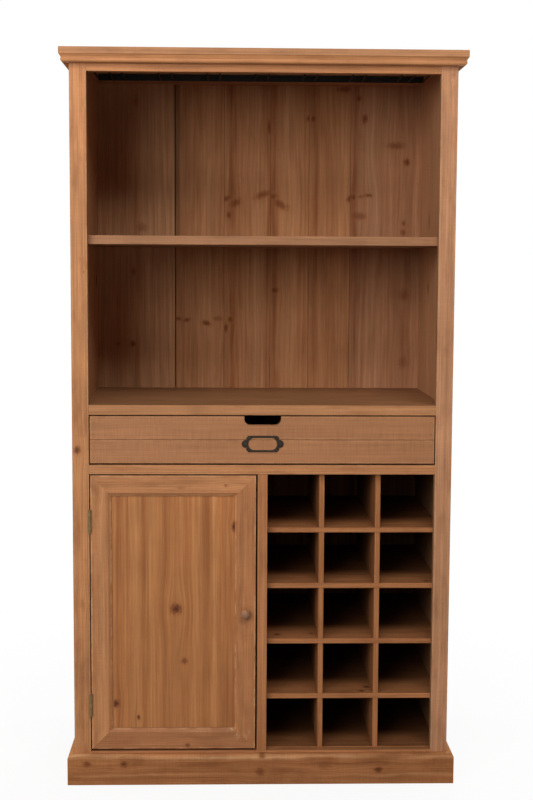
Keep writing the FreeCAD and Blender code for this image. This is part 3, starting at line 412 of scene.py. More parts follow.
@dataclass(frozen=True)
class Figure:
    """What all the pine boards share: the layers of their figure, where these set in and how they count."""

    shift_reach: float = 40.0
    wander: Layer = Layer(8.0, 7.0, 1.0)
    tone: Layer = Layer(14.0, 9.0, 2.0)
    sway: Layer = Layer(26.0, 14.0, 2.0)
    fade: Layer = Layer(34.0, 9.0, 2.0)
    mottle: Layer = Layer(38.0, 3.5, 3.0)
    waver: Layer = Layer(45.0, 24.0, 1.0)
    thread: Layer = Layer(230.0, 55.0, 3.0)
    feather: Layer = Layer(260.0, 9.0, 2.0)
    fine: Layer = Layer(640.0, 50.0, 2.0)
    pores: Layer = Layer(1500.0, 26.0, 1.0)
    stripe_length: float = 70.0
    stripe_detail: float = 1.0
    crumbs: Pair = (190.0, 3.0)
    patches: Pair = (30.0, 2.0)
    clouds: Pair = (6.0, 3.0)
    saw_marks: Triple = (330.0, 0.05, 2.0)

    stripe_edge: Edge = (0.34, 0.66)
    pore_edge: Edge = (0.64, 0.74)
    mottle_edge: Edge = (0.45, 0.75)
    fade_edge: Edge = (0.3, 0.7)
    late_start: Edge = (0.15, 0.8)
    late_end: Edge = (0.82, 1.0)
    core_edge: Edge = (0.45, 1.6)
    heart_edge: Edge = (0.1, 1.05)
    halo_edge: Edge = (1.0, 2.8)
    rub_edge: Edge = (1.0 * MM, 6.0 * MM)
    patch_edge: Edge = (0.38, 0.62)
    scuff_edge: Edge = (0.3, 0.65)
    seam_edge: Edge = (0.0, 1.2 * MM)

    ring_swing: float = 0.6
    fine_swing: float = 0.12
    tone_swing: float = 0.15
    halo_swing: float = 0.4
    pore_share: float = 0.26
    halo_share: float = 0.5
    fade_span: float = 0.8
    fade_least: float = 0.3
    fine_rough: float = 0.14
    cloud_rough: float = 0.18
    late_rough: float = -0.04

    pith_past_edge: float = 80.0 * MM
    pith_depth: Edge = (120.0 * MM, 300.0 * MM)
    pith_slope: float = 0.02
    waver_reach: float = 1.8
    sway_reach: float = 10.0 * MM
    rub_reach: float = 4.0 * MM
    crumb_reach: float = 1.1
    feather_reach: float = 1.2
    bend_width: float = 2.4
    bend_length: float = 5.0
    halo_rings: float = 8.0

    fine_rise: float = 0.5
    thread_rise: float = 0.4
    late_rise: float = 0.2
    pore_rise: float = -0.6
    heart_rise: float = -0.6
    saw_rise: float = 6.0
    relief: float = 0.22 * MM
    relief_strength: float = 0.6


@dataclass(frozen=True)
class PineFinish(Finish):
    """Stained pine with its rings, stripes, fibres, pores, saw marks, knots and worn edges, and rooms of
    painted shade.
    """

    stain: Stain
    grain: Grain
    seed: int
    stripe: float = 0.30
    stripe_width: float = 13.0 * MM
    ring: float = 0.16
    ring_spacing: float = 4.4 * MM
    wave: float = 6.0 * MM
    bend: float = 0.6
    fibre: float = 0.46
    mottle: float = 0.32
    cloud: float = 0.20
    saw: float = 0.08
    seam: float = 0.30
    wear: float = 0.0
    sheen: float = 0.20
    roughness: float = 0.52
    knots: tuple[Knot, ...] = ()
    streaks: tuple[Streak, ...] = ()
    scuffs: tuple[Scuff, ...] = ()
    shades: tuple[PaintedShade, ...] = ()
    figure: ClassVar[Figure] = Figure()

    def paint(self, graph: Graph, box: Box) -> None:
        """Build the wood in a graph.

        Args:
            graph: The graph of an empty material.
            box: The board's room.
        """
        figure, stain = self.figure, self.stain
        draw = random.Random(self.seed)
        place = graph.node("ShaderNodeTexCoord", output="Object")
        parts = graph.node("ShaderNodeSeparateXYZ", None, {0: place})
        along, across, depth = (parts.also(k) for k in self.grain.value)
        board = Board(graph, place, along, across, depth, drift(draw, figure.shift_reach))

        crumb = board.spots(*figure.crumbs)
        bent, core, heart, halo = self._knots(board, crumb)
        bent = bent + board.fibre(across, figure.wander).centred() * self.wave
        late = self._rings(board, bent, box, draw)
        stripe = Layer(1.0 / self.stripe_width, figure.stripe_length, figure.stripe_detail)
        band = board.fibre(bent, stripe).between(*figure.stripe_edge)
        tone, thread, fine = (board.fibre(bent, layer) for layer in (figure.tone, figure.thread, figure.fine))
        pores = board.fibre(bent, figure.pores).between(*figure.pore_edge)
        mottle = board.fibre(bent, figure.mottle).between(*figure.mottle_edge)
        cloud = board.spots(*figure.clouds)
        marks = board.strokes(*figure.saw_marks)

        colour = graph.mix(band * self.stripe, stain.pale, stain.ruddy)
        colour = graph.mix(late * tone.swing(figure.ring_swing) * self.ring, colour, stain.deep)
        colour = self._streaked(board, colour, bent)
        colour = colour * (thread.swing(self.fibre) + fine.swing(figure.fine_swing) - 1.0)
        colour = graph.mix(pores * figure.pore_share, colour, stain.deep)
        colour = colour * (cloud.swing(self.cloud) + tone.swing(figure.tone_swing) - 1.0)
        colour = colour * marks.swing(self.saw)
        colour = graph.mix(mottle * self.mottle, colour, stain.deep)
        height = fine * figure.fine_rise + thread * figure.thread_rise + late * figure.late_rise
        height = height + pores * figure.pore_rise + marks * (figure.saw_rise * self.saw)
        if core is not None:
            colour = graph.mix(halo * figure.halo_share, colour, stain.ruddy)
            colour = graph.mix(core, colour, stain.deep)
            colour = graph.mix(heart, colour, stain.knot)
            height = height + heart * figure.heart_rise
        colour = self._worn(board, colour, box, crumb)
        # Painted shade: darken the colour inside each shade room.
        for shade in self.shades:
            colour = colour * self._shaded(parts, shade)
        rough = fine.centred() * figure.fine_rough + cloud.centred() * figure.cloud_rough
        rough = rough + late * figure.late_rough
        graph.surface(
            {
                "Base Color": colour,
                "Roughness": rough + self.roughness,
                "Specular IOR Level": self.sheen,
                "Normal": graph.bump(height, figure.relief, figure.relief_strength),
            }
        )

    def _rings(self, board: Board, bent: Wire, box: Box, draw: random.Random) -> Wire:
        """Draw the year rings of a board cut at some way from the pith.

        Args:
            board: The board.
            bent: Place across the fibre, bent round the knots.
            box: The board's room.
            draw: Source of the board's own numbers.

        Returns:
            Zero in the early wood, rising to one in the late wood.
        """
        figure = self.figure
        axis = self.grain.value[1]
        past = figure.pith_past_edge
        pith_side = draw.uniform(box.low[axis] - past, box.high[axis] + past)
        pith_depth = draw.uniform(*figure.pith_depth)
        slope = draw.uniform(-figure.pith_slope, figure.pith_slope)
        side = bent - pith_side
        inward = board.along * slope + (board.depth + pith_depth)
        radius = (side * side + inward * inward).root()
        phase = radius / self.ring_spacing + board.fibre(bent, figure.waver).centred() * figure.waver_reach
        step = phase.fraction()
        return step.between(*figure.late_start) * (1.0 - step.between(*figure.late_end))

    def _streaked(self, board: Board, colour: Wire, bent: Wire) -> Wire:
        """Lay the darker and paler streaks over a colour.

        Args:
            board: The board.
            colour: The colour below.
            bent: Place across the fibre, bent round the knots.

        Returns:
            The streaked colour.
        """
        if not self.streaks:
            return colour
        figure = self.figure
        swayed = bent + board.fibre(board.across, figure.sway).centred() * figure.sway_reach
        fade = board.fibre(bent, figure.fade).between(*figure.fade_edge)
        fade = fade * figure.fade_span + figure.fade_least
        for sign, over in ((1.0, self.stain.deep), (-1.0, self.stain.worn)):
            bands = []
            for streak in self.streaks:
                if streak.depth * sign > 0.0:
                    away = (swayed - streak.across) / streak.width
                    bands.append((-(away * away)).exponential() * abs(streak.depth))
            if bands:
                share = functools.reduce(operator.add, bands) * fade
                colour = board.graph.mix(share.least(1.0), colour, over)
        return colour

    def _knots(self, board: Board, crumb: Wire) -> tuple[Wire, Wire | None, Wire | None, Wire | None]:
        """Draw the knots and bend the fibre round them.

        Args:
            board: The board.
            crumb: Noise that breaks the knots' outline.

        Returns:
            The bent place across the fibre, and the masks of body, heart and halo, or None without knots.
        """
        figure = self.figure
        bent = board.across
        feather = board.fibre(board.across, figure.feather).centred() * figure.feather_reach
        feather = feather + crumb.centred() * figure.crumb_reach
        masks: list[tuple[Wire, Wire, Wire]] = []
        for knot in self.knots:
            side = board.across - knot.across
            run = board.along - knot.along
            wide, tall = side / (figure.bend_width * knot.radius), run / (figure.bend_length * knot.radius)
            bent = bent - side * (-(wide * wide + tall * tall)).exponential() * self.bend
            turned = (side * math.cos(knot.tilt) + run * math.sin(knot.tilt)) / knot.radius
            length = (run * math.cos(knot.tilt) - side * math.sin(knot.tilt)) / (knot.stretch * knot.radius)
            away = (turned * turned + length * length).root() + feather
            core = (1.0 - away.between(*figure.core_edge)) * knot.depth
            heart = (1.0 - away.between(*figure.heart_edge)) * knot.depth**2
            ripple = (away * figure.halo_rings).sine() * figure.halo_swing + (1.0 - figure.halo_swing)
            masks.append((core, heart, ripple * (1.0 - away.between(*figure.halo_edge)) * knot.depth))
        if not masks:
            return bent, None, None, None
        core, heart, halo = (functools.reduce(operator.add, kind).least(1.0) for kind in zip(*masks))
        return bent, core, heart, halo

    @staticmethod
    def _shaded(parts: Wire, shade: PaintedShade) -> Wire:
        """The share of colour that a painted shade leaves.

        Args:
            parts: The separated place, whose outputs are its three axes.
            shade: The shade.

        Returns:
            One outside the shade's room, and its share inside.
        """
        sides = []
        for axis, (low, high) in enumerate(zip(shade.room.low, shade.room.high)):
            where = parts.also(axis)
            sides.append(where.between(low - shade.soft, low + shade.soft))
            sides.append(1.0 - where.between(high - shade.soft, high + shade.soft))
        return 1.0 - functools.reduce(operator.mul, sides) * (1.0 - shade.share)

    def _worn(self, board: Board, colour: Wire, box: Box, crumb: Wire) -> Wire:
        """Darken the seams at the board's edges and rub its arrises and scuffs pale.

        Args:
            board: The board.
            colour: The colour below.
            box: The board's room.
            crumb: Noise that breaks the outlines.

        Returns:
            The worn colour.
        """
        figure = self.figure
        sides = []
        for axis, where in zip(self.grain.value, (board.along, board.across)):
            sides.append((where - box.low[axis]).least(box.high[axis] - where))
        edge = sides[0].least(sides[1])
        patchy = board.spots(*figure.patches).between(*figure.patch_edge)
        inside = (edge + crumb.centred() * figure.rub_reach).between(*figure.rub_edge)
        rubbed = (1.0 - inside) * patchy * self.wear
        for scuff in self.scuffs:
            run = (board.along - scuff.along) / scuff.length
            side = (board.across - scuff.across) / scuff.width
            spot = (-(run * run + side * side)).exponential() * crumb.between(*figure.scuff_edge)
            rubbed = rubbed + spot * scuff.strength
        colour = board.graph.mix(rubbed.least(1.0), colour, self.stain.worn)
        return colour * (1.0 - (1.0 - edge.between(*figure.seam_edge)) * self.seam)


@dataclass(frozen=True)
class MetalFinish(Finish):
    """Aged metal, dark in its hollows and rubbed on its high places."""

    base: Colour
    rubbed: Colour
    dirt: Colour
    metallic: float
    roughness: float
    seed: int
    sheen: float = 0.5
    shift_reach: ClassVar[float] = 10.0
    clouds: ClassVar[Pair] = (130.0, 4.0)
    specks: ClassVar[Pair] = (900.0, 2.0)
    scratches: ClassVar[Triple] = (60.0, 60.0, 2400.0)
    scratch_detail: ClassVar[float] = 2.0
    scratch_share: ClassVar[float] = 0.4
    worn_edge: ClassVar[Edge] = (0.46, 0.62)
    grime_edge: ClassVar[Edge] = (0.55, 0.72)
    worn_share: ClassVar[float] = 0.6
    grime_share: ClassVar[float] = 0.7
    worn_shine: ClassVar[float] = 0.08
    dull: ClassVar[float] = 0.2
    bare: ClassVar[float] = 0.15
    speck_rise: ClassVar[float] = 0.5
    scratch_rise: ClassVar[float] = 0.25
    relief: ClassVar[float] = 0.1 * MM
    relief_strength: ClassVar[float] = 0.6

    def paint(self, graph: Graph, box: Box) -> None:
        """Build the metal in a graph.

        Args:
            graph: The graph of an empty material.
            box: The piece's room.
        """
        place = graph.node("ShaderNodeTexCoord", output="Object")
        shift = drift(random.Random(self.seed), self.shift_reach)
        cloud = graph.noise(place + shift, *self.clouds)
        speck = graph.noise(place + shift, *self.specks)
        scratch = graph.noise(place * self.scratches + shift, 1.0, self.scratch_detail)
        worn = (cloud * (1.0 - self.scratch_share) + scratch * self.scratch_share).between(*self.worn_edge)
        grime = speck.between(*self.grime_edge) * (1.0 - worn)
        colour = graph.mix(worn * self.worn_share, self.base, self.rubbed)
        colour = graph.mix(grime * self.grime_share, colour, self.dirt)
        height = (speck - grime) * self.speck_rise + scratch * self.scratch_rise
        rough = (speck.centred() + grime) * self.dull - worn * self.worn_shine
        graph.surface(
            {
                "Base Color": colour,
                "Metallic": (worn - 1.0) * self.bare + self.metallic,
                "Roughness": rough + self.roughness,
                "Specular IOR Level": self.sheen,
                "Normal": graph.bump(height, self.relief, self.relief_strength),
            }
        )


@dataclass(frozen=True)
class CoatedFinish(Finish):
    """A coat of powder paint or moulded plastic, with its fine orange-peel and dust."""

    base: Colour
    dust: Colour
    roughness: float
    sheen: float
    peel: float
    seed: int
    shift_reach: ClassVar[float] = 10.0
    peel_detail: ClassVar[float] = 2.0
    clouds: ClassVar[Pair] = (45.0, 4.0)
    dust_edge: ClassVar[Edge] = (0.5, 0.75)
    dust_share: ClassVar[float] = 0.5
    peel_rough: ClassVar[float] = 0.18
    cloud_rough: ClassVar[float] = 0.16
    relief: ClassVar[float] = 0.12 * MM
    relief_strength: ClassVar[float] = 0.5

    def paint(self, graph: Graph, box: Box) -> None:
        """Build the coat in a graph.

        Args:
            graph: The graph of an empty material.
            box: The piece's room.
        """
        place = graph.node("ShaderNodeTexCoord", output="Object")
        shift = drift(random.Random(self.seed), self.shift_reach)
        peel = graph.noise(place + shift, self.peel, self.peel_detail)
        cloud = graph.noise(place + shift, *self.clouds)
        dusty = cloud.between(*self.dust_edge) * peel
        rough = peel.centred() * self.peel_rough + cloud.centred() * self.cloud_rough
        graph.surface(
            {
                "Base Color": graph.mix(dusty * self.dust_share, self.base, self.dust),
                "Roughness": rough + self.roughness,
                "Specular IOR Level": self.sheen,
                "Normal": graph.bump(peel, self.relief, self.relief_strength),
            }
        )


FRAME_STAIN = Stain(shown(196, 136, 89), shown(176, 113, 70), shown(134, 79, 45))
# Painted light: a cooler copy of the frame stain that stands for cooler light on the right stile; the display
# shelf wears it as its own tone.
COOL_LIGHT_AND_TONE_STAIN = Stain(shown(194, 140, 102), shown(176, 121, 86), shown(134, 85, 55))
RAIL_STAIN = Stain(shown(180, 121, 78), shown(160, 100, 60), shown(120, 70, 38))
KNOB_STAIN = Stain(shown(152, 108, 78), shown(136, 92, 64), shown(92, 58, 38))
DOOR_FOOT_STAIN = Stain(shown(166, 111, 72), shown(150, 94, 58), shown(114, 66, 37))
DOOR_STAIN = Stain(shown(186, 128, 84), shown(168, 108, 67), shown(126, 75, 42))
SHELF_STAIN = Stain(shown(216, 154, 106), shown(198, 134, 88), shown(140, 87, 52))
PANEL_STAIN = Stain(shown(182, 122, 74), shown(166, 104, 58), shown(128, 72, 36), worn=shown(200, 146, 96))
BACK_KNOT = shown(84, 36, 12)
BACK_STAIN = Stain(
    shown(174, 122, 83), shown(160, 105, 66), shown(116, 55, 20), BACK_KNOT, shown(194, 146, 106)
)
# Painted light: a paler copy of the back's stain, lifting the leftmost board where the stile's shadow falls.
BACK_PAINTED_LIGHT_STAIN = Stain(
    shown(190, 140, 101), shown(174, 121, 82), shown(124, 67, 31), BACK_KNOT, shown(204, 158, 118)
)
BACK_COOL_STAIN = Stain(
    shown(172, 124, 90), shown(158, 107, 73), shown(114, 59, 29), BACK_KNOT, shown(192, 148, 113)
)
DRAWER_STAIN = Stain(shown(166, 114, 77), shown(157, 105, 69), shown(126, 80, 50))
PLINTH_STAIN = Stain(shown(172, 114, 72), shown(156, 98, 58), shown(112, 62, 33))
INSIDE_STAIN = Stain(shown(176, 120, 78), shown(158, 101, 62), shown(112, 64, 36))
WALL_STAIN = Stain(shown(192, 140, 101), shown(176, 122, 83), shown(122, 74, 47))
RACK_STAIN = Stain(shown(200, 134, 87), shown(182, 114, 70), shown(124, 72, 40))
PLAIN_STAIN = Stain(shown(210, 162, 114), shown(198, 146, 98), shown(164, 112, 70))

BRONZE = MetalFinish(shown(112, 96, 62), shown(142, 122, 82), shown(52, 43, 28), 0.45, 0.55, 5, 0.3)
LABEL_METAL = MetalFinish(shown(46, 38, 31), shown(66, 56, 46), shown(24, 20, 16), 0.25, 0.55, 8, 0.12)
SCREW_STEEL = MetalFinish(shown(92, 84, 70), shown(134, 124, 106), shown(42, 36, 28), 0.8, 0.45, 11)
LABEL_SCREW = MetalFinish(shown(54, 46, 38), shown(80, 70, 58), shown(24, 20, 16), 0.4, 0.5, 12, 0.2)
BRAD_STEEL = MetalFinish(shown(96, 70, 48), shown(120, 92, 66), shown(58, 40, 28), 0.3, 0.6, 13)
BLACK_COAT = CoatedFinish(shown(22, 20, 19), shown(58, 52, 46), 0.62, 0.2, 800.0, 3)
BROWN_PLASTIC = CoatedFinish(shown(84, 58, 38), shown(110, 86, 64), 0.55, 0.3, 1400.0, 4)


class Recess(Enum):
    """Outline of a driver recess, as points in shares of the head's radius."""

    SLOT = ((1.3, 0.14), (-1.3, 0.14), (-1.3, -0.14), (1.3, -0.14))
    CROSS = (
        (0.62, 0.13), (0.13, 0.13), (0.13, 0.62), (-0.13, 0.62), (-0.13, 0.13), (-0.62, 0.13),
        (-0.62, -0.13), (-0.13, -0.13), (-0.13, -0.62), (0.13, -0.62), (0.13, -0.13), (0.62, -0.13),
    )


def node(name: str) -> bpy.types.Object:
    """The frame's object of that name."""
    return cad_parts[name]


def new_piece(name: str, mesh: bpy.types.Mesh, body: str) -> bpy.types.Object:
    """Put a new mesh into the scene on a body of the frame.

    Args:
        name: Name of the piece.
        mesh: Its mesh, in place.
        body: The body it moves with.

    Returns:
        The piece.
    """
    piece = bpy.data.objects.new(name, mesh)
    bpy.context.scene.collection.objects.link(piece)
    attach(piece, body)
    log.info("piece %s on %s, %d faces", name, body, len(mesh.polygons))
    return piece


def islands(shape: bmesh.types.BMesh) -> list[list[bmesh.types.BMVert]]:
    """Group the vertices of a mesh into its separate solids.

    Args:
        shape: The mesh, with its double vertices joined.

    Returns:
        A list of vertices for each solid.
    """
    left = set(shape.verts)
    groups = []
    for first in shape.verts:
        if first not in left:
            continue
        group, open_ends = [], [first]
        left.discard(first)
        while open_ends:
            vertex = open_ends.pop()
            group.append(vertex)
            for edge in vertex.link_edges:
                other = edge.other_vert(vertex)
                if other in left:
                    left.discard(other)
                    open_ends.append(other)
        groups.append(group)
    return groups


@dataclass(frozen=True)
class DrivenScrews:
    """The screws of one node, with a driver recess cut into each head."""

    source: str
    body: str
    outward: Vector
    recess: Recess
    depth_share: float
    seed: int
    join_within: ClassVar[float] = 1e-6
    rise_share: ClassVar[float] = 0.6
    foot_share: ClassVar[float] = 0.7
    sharp_angle: ClassVar[float] = math.radians(32.0)

    def build(self) -> bpy.types.Object:
        """Copy the screws, cut their recesses and let the copy stand for the node.

        Returns:
            The new piece.
        """
        shape = bmesh.new()
        shape.from_mesh(node(self.source).data)
        bmesh.ops.remove_doubles(shape, verts=shape.verts[:], dist=self.join_within)
        cutter = self._cutter(shape)
        mesh = bpy.data.meshes.new(self.source + "_driven")
        shape.to_mesh(mesh)
        shape.free()
        piece = new_piece(self.source + "_driven", mesh, self.body)
        self._carve(piece, cutter)
        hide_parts(self.source)
        return piece

    def _cutter(self, shape: bmesh.types.BMesh) -> bpy.types.Object:
        """Make one prism for each screw head.

        Args:
            shape: The screws.

        Returns:
            An object that holds all the prisms.
        """
        draw = random.Random(self.seed)
        prisms = bmesh.new()
        first = Vector((1, 0, 0)) if self.outward.z else Vector((0, 0, 1))
        second = self.outward.cross(first)
        for group in islands(shape):
            reach = max(v.co.dot(self.outward) for v in group)
            middle = sum((v.co for v in group), Vector()) / len(group)
            spread = [v.co - middle for v in group]
            for axis in (first, second):
                reaches = [s.dot(axis) for s in spread]
                middle = middle + axis * (max(reaches) + min(reaches)) / 2
            radius = max((v.co - middle).cross(self.outward).length for v in group)
            top = middle + self.outward * (reach - middle.dot(self.outward))
            turn = draw.uniform(0.0, math.pi)
            rings = []
            for rise, scale in ((self.rise_share, 1.0), (-self.depth_share, self.foot_share)):
                lift = self.outward * (radius * rise)
                ring = []
                for u, v in self.recess.value:
                    a = (u * math.cos(turn) - v * math.sin(turn)) * radius * scale
                    b = (u * math.sin(turn) + v * math.cos(turn)) * radius * scale
                    ring.append(prisms.verts.new(top + first * a + second * b + lift))
                rings.append(ring)
            prisms.faces.new(rings[0])
            prisms.faces.new(rings[1][::-1])
            for k in range(len(rings[0])):
                after = (k + 1) % len(rings[0])
                prisms.faces.new((rings[0][after], rings[0][k], rings[1][k], rings[1][after]))
        bmesh.ops.recalc_face_normals(prisms, faces=prisms.faces[:])
        mesh = bpy.data.meshes.new(self.source + "_cutter")
        prisms.to_mesh(mesh)
        prisms.free()
        cutter = bpy.data.objects.new(self.source + "_cutter", mesh)
        bpy.context.scene.collection.objects.link(cutter)
        return cutter

    def _carve(self, piece: bpy.types.Object, cutter: bpy.types.Object) -> None:
        """Take the cutter's room out of the piece's mesh.

        Args:
            piece: The piece to cut.
            cutter: The cutter, which is removed afterwards.
        """
        change = piece.modifiers.new("recess", "BOOLEAN")
        change.operation = "DIFFERENCE"
        change.solver = "EXACT"
        change.object = cutter
        graph = bpy.context.evaluated_depsgraph_get()
        carved = bpy.data.meshes.new_from_object(piece.evaluated_get(graph))
        piece.modifiers.clear()
        piece.data = carved
        carved.polygons.foreach_set("use_smooth", [True] * len(carved.polygons))
        carved.set_sharp_from_angle(angle=self.sharp_angle)
        bpy.data.objects.remove(cutter)


@dataclass
class SubAssembly:
    """A group of the frame's nodes and the finishes they wear."""

    title: str

    def finishes(self) -> dict[str, Finish]:
        """The finish of each node of the group."""
        raise NotImplementedError

    def build(self) -> None:
        """Make the pieces that the frame doesn't hold."""

    def dress(self) -> None:
        """Give every node of the group its finish."""
        for name, finish in self.finishes().items():
            finish.dress(node(name))
            log.info("%s: %s", self.title, name)


def knots_at(*places: Sequence[float]) -> tuple[Knot, ...]:
    """Knots from their places along and across the fibre and radii in millimetres, and any further shape."""
    return tuple(Knot(p[0] * MM, p[1] * MM, p[2] * MM, *p[3:]) for p in places)


def streaks_at(*places: Sequence[float]) -> tuple[Streak, ...]:
    """Streaks from their places across the fibre and half widths in millimetres, and their depths."""
    return tuple(Streak(p[0] * MM, p[1] * MM, p[2]) for p in places)


def scuffs_at(*places: Sequence[float]) -> tuple[Scuff, ...]:
    """Scuffs from their places and half sizes along and across the fibre in millimetres, and strengths."""
    return tuple(Scuff(p[0] * MM, p[1] * MM, p[2] * MM, p[3] * MM, p[4]) for p in places)


def behind(depth: float, share: float, soft: float) -> PaintedShade:
    """Painted shade of everything further back than a depth, in metres."""
    return PaintedShade(Box((-FAR, depth, -FAR), (FAR, FAR, FAR)), share, soft)


def below(height: float, share: float, soft: float) -> PaintedShade:
    """Painted shade of everything lower than a height, in metres."""
    return PaintedShade(Box((-FAR, -FAR, -FAR), (FAR, FAR, height)), share, soft)


@dataclass
class FaceFrame(SubAssembly):
    """Stiles, rails and mullion of the front."""

    title: str = "face frame"
    narrow_stripe: float = 8.0 * MM
    # Painted shade: below this height the stiles grow darker, standing for the light that falls off towards
    # the floor.
    painted_falloff_height: float = 0.85
    painted_falloff_soft: float = 0.6

    def finishes(self) -> dict[str, Finish]:
        """Choose the finish of each stile and rail and of the mullion.

        Returns:
            The finishes by node.
        """
        striped = {"stripe": 0.5, "stripe_width": self.narrow_stripe}
        return {
            "stile_left": PineFinish(
                FRAME_STAIN, Grain.UPRIGHT, 101, mottle=0.48, cloud=0.34, wear=0.25,
                knots=knots_at(
                    (791.7, -427.6, 8.0, 0.8, 1.2), (1200, -409, 2.2, 0.5), (430, -420, 6.0, 0.2, 1.6),
                ),
                streaks=streaks_at((-404, 3.0, 0.25), (-432, 3.0, 0.2)),
                shades=(below(self.painted_falloff_height, 0.87, self.painted_falloff_soft),),
            ),
            # Painted light: the right stile wears the cooler stain that stands for cooler light from the
            # right.
            "stile_right": PineFinish(
                COOL_LIGHT_AND_TONE_STAIN, Grain.UPRIGHT, 102, mottle=0.44, cloud=0.28, wear=0.25,
                knots=knots_at((1648, 428, 5.0, 0.35, 1.5)),
                streaks=streaks_at((406, 3.0, 0.2), (424, 4.0, 0.15)),
                shades=(below(self.painted_falloff_height, 0.9, self.painted_falloff_soft),),
            ),
            # Painted light: the top rail wears the paler frame stain, lifting the shadow that the cornice
            # casts on it.
            "top_rail": PineFinish(FRAME_STAIN, Grain.LEVEL, 103, **striped),
            "mid_rail": PineFinish(DOOR_STAIN, Grain.LEVEL, 104, wear=0.2),
            "bottom_rail": PineFinish(RAIL_STAIN, Grain.LEVEL, 105, knots=knots_at((2, 62, 6.5, 0.75, 0.8))),
            "mullion": PineFinish(RAIL_STAIN, Grain.UPRIGHT, 106, **striped),
        }


@dataclass
class Carcass(SubAssembly):
    """Sides, shelves, floor and partition."""

    title: str = "carcass"
    # Painted shade: the inner walls below the drawer deck, the shelf tops behind their front edges, and the
    # rack floor and partition darker the deeper they lie.
    cupboard_wall_shade: PaintedShade = PaintedShade(Box((-0.43, -0.19, -FAR), (-0.3, FAR, 0.737)), 0.6, 2.0 * MM)
    rack_wall_shade: PaintedShade = PaintedShade(Box((0.3, -0.19, -FAR), (0.43, FAR, 0.737)), 0.42, 2.0 * MM)
    counter_shade: PaintedShade = behind(-0.2275, 0.48, 1.5 * MM)
    display_shade: PaintedShade = behind(-0.2065, 0.5, 1.5 * MM)
    floor_shade: PaintedShade = behind(-0.2075, 0.36, 1.5 * MM)
    floor_depth_shade: PaintedShade = behind(-0.11, 0.5, 0.07)
    partition_depth_shade: PaintedShade = behind(-0.11, 0.55, 0.07)

    def finishes(self) -> dict[str, Finish]:
        """Choose the finish of each side, shelf, runner and inner wall.

        Returns:
            The finishes by node.
        """
        matt = {"sheen": 0.10}
        rack = {"sheen": 0.06}
        return {
            "side_panel_left": PineFinish(
                WALL_STAIN, Grain.UPRIGHT_SIDE, 201, mottle=0.12, shades=(self.cupboard_wall_shade,),
                knots=knots_at((1176, 184, 13.0, 0.9, 1.25), (640, -60, 9.0, 0.7), (300, 120, 7.0, 0.6)),
                **matt,
            ),
            "side_panel_right": PineFinish(
                WALL_STAIN, Grain.UPRIGHT_SIDE, 202, mottle=0.12, shades=(self.rack_wall_shade,),
                knots=knots_at(
                    (1163, 64, 10.0, 0.7, 1.2), (1328, 64, 13.0, 0.45, 1.6), (1590, -90, 6.0, 0.4),
                    (520, 20, 9.0, 0.7),
                ),
                **matt,
            ),
            "counter_shelf": PineFinish(
                SHELF_STAIN, Grain.SHELF, 203, shades=(self.counter_shade,),
                knots=knots_at(
                    (-219, 166, 6.0, 0.6), (248, 161, 6.0, 0.6), (118, 225, 6.0, 0.6), (-70, 20, 4.0, 0.4),
                ),
                **matt,
            ),
            "display_shelf": PineFinish(COOL_LIGHT_AND_TONE_STAIN, Grain.SHELF, 204, shades=(self.display_shade,), **matt),
            "floor_panel": PineFinish(
                RACK_STAIN, Grain.SHELF, 205, shades=(self.floor_shade, self.floor_depth_shade), **rack
            ),
            "centre_partition": PineFinish(
                RACK_STAIN, Grain.UPRIGHT_SIDE, 206, shades=(self.partition_depth_shade,), **rack
            ),
            "cupboard_shelf": PineFinish(
                INSIDE_STAIN, Grain.SHELF, 207, knots=knots_at((-300, 60, 7.0, 0.7)), **matt,
            ),
            "drawer_deck": PineFinish(PLAIN_STAIN, Grain.SHELF, 208, **matt),
            "drawer_runner_left": PineFinish(PLAIN_STAIN, Grain.DEEP_SIDE, 209, **matt),
            "drawer_runner_right": PineFinish(PLAIN_STAIN, Grain.DEEP_SIDE, 210, **matt),
        }


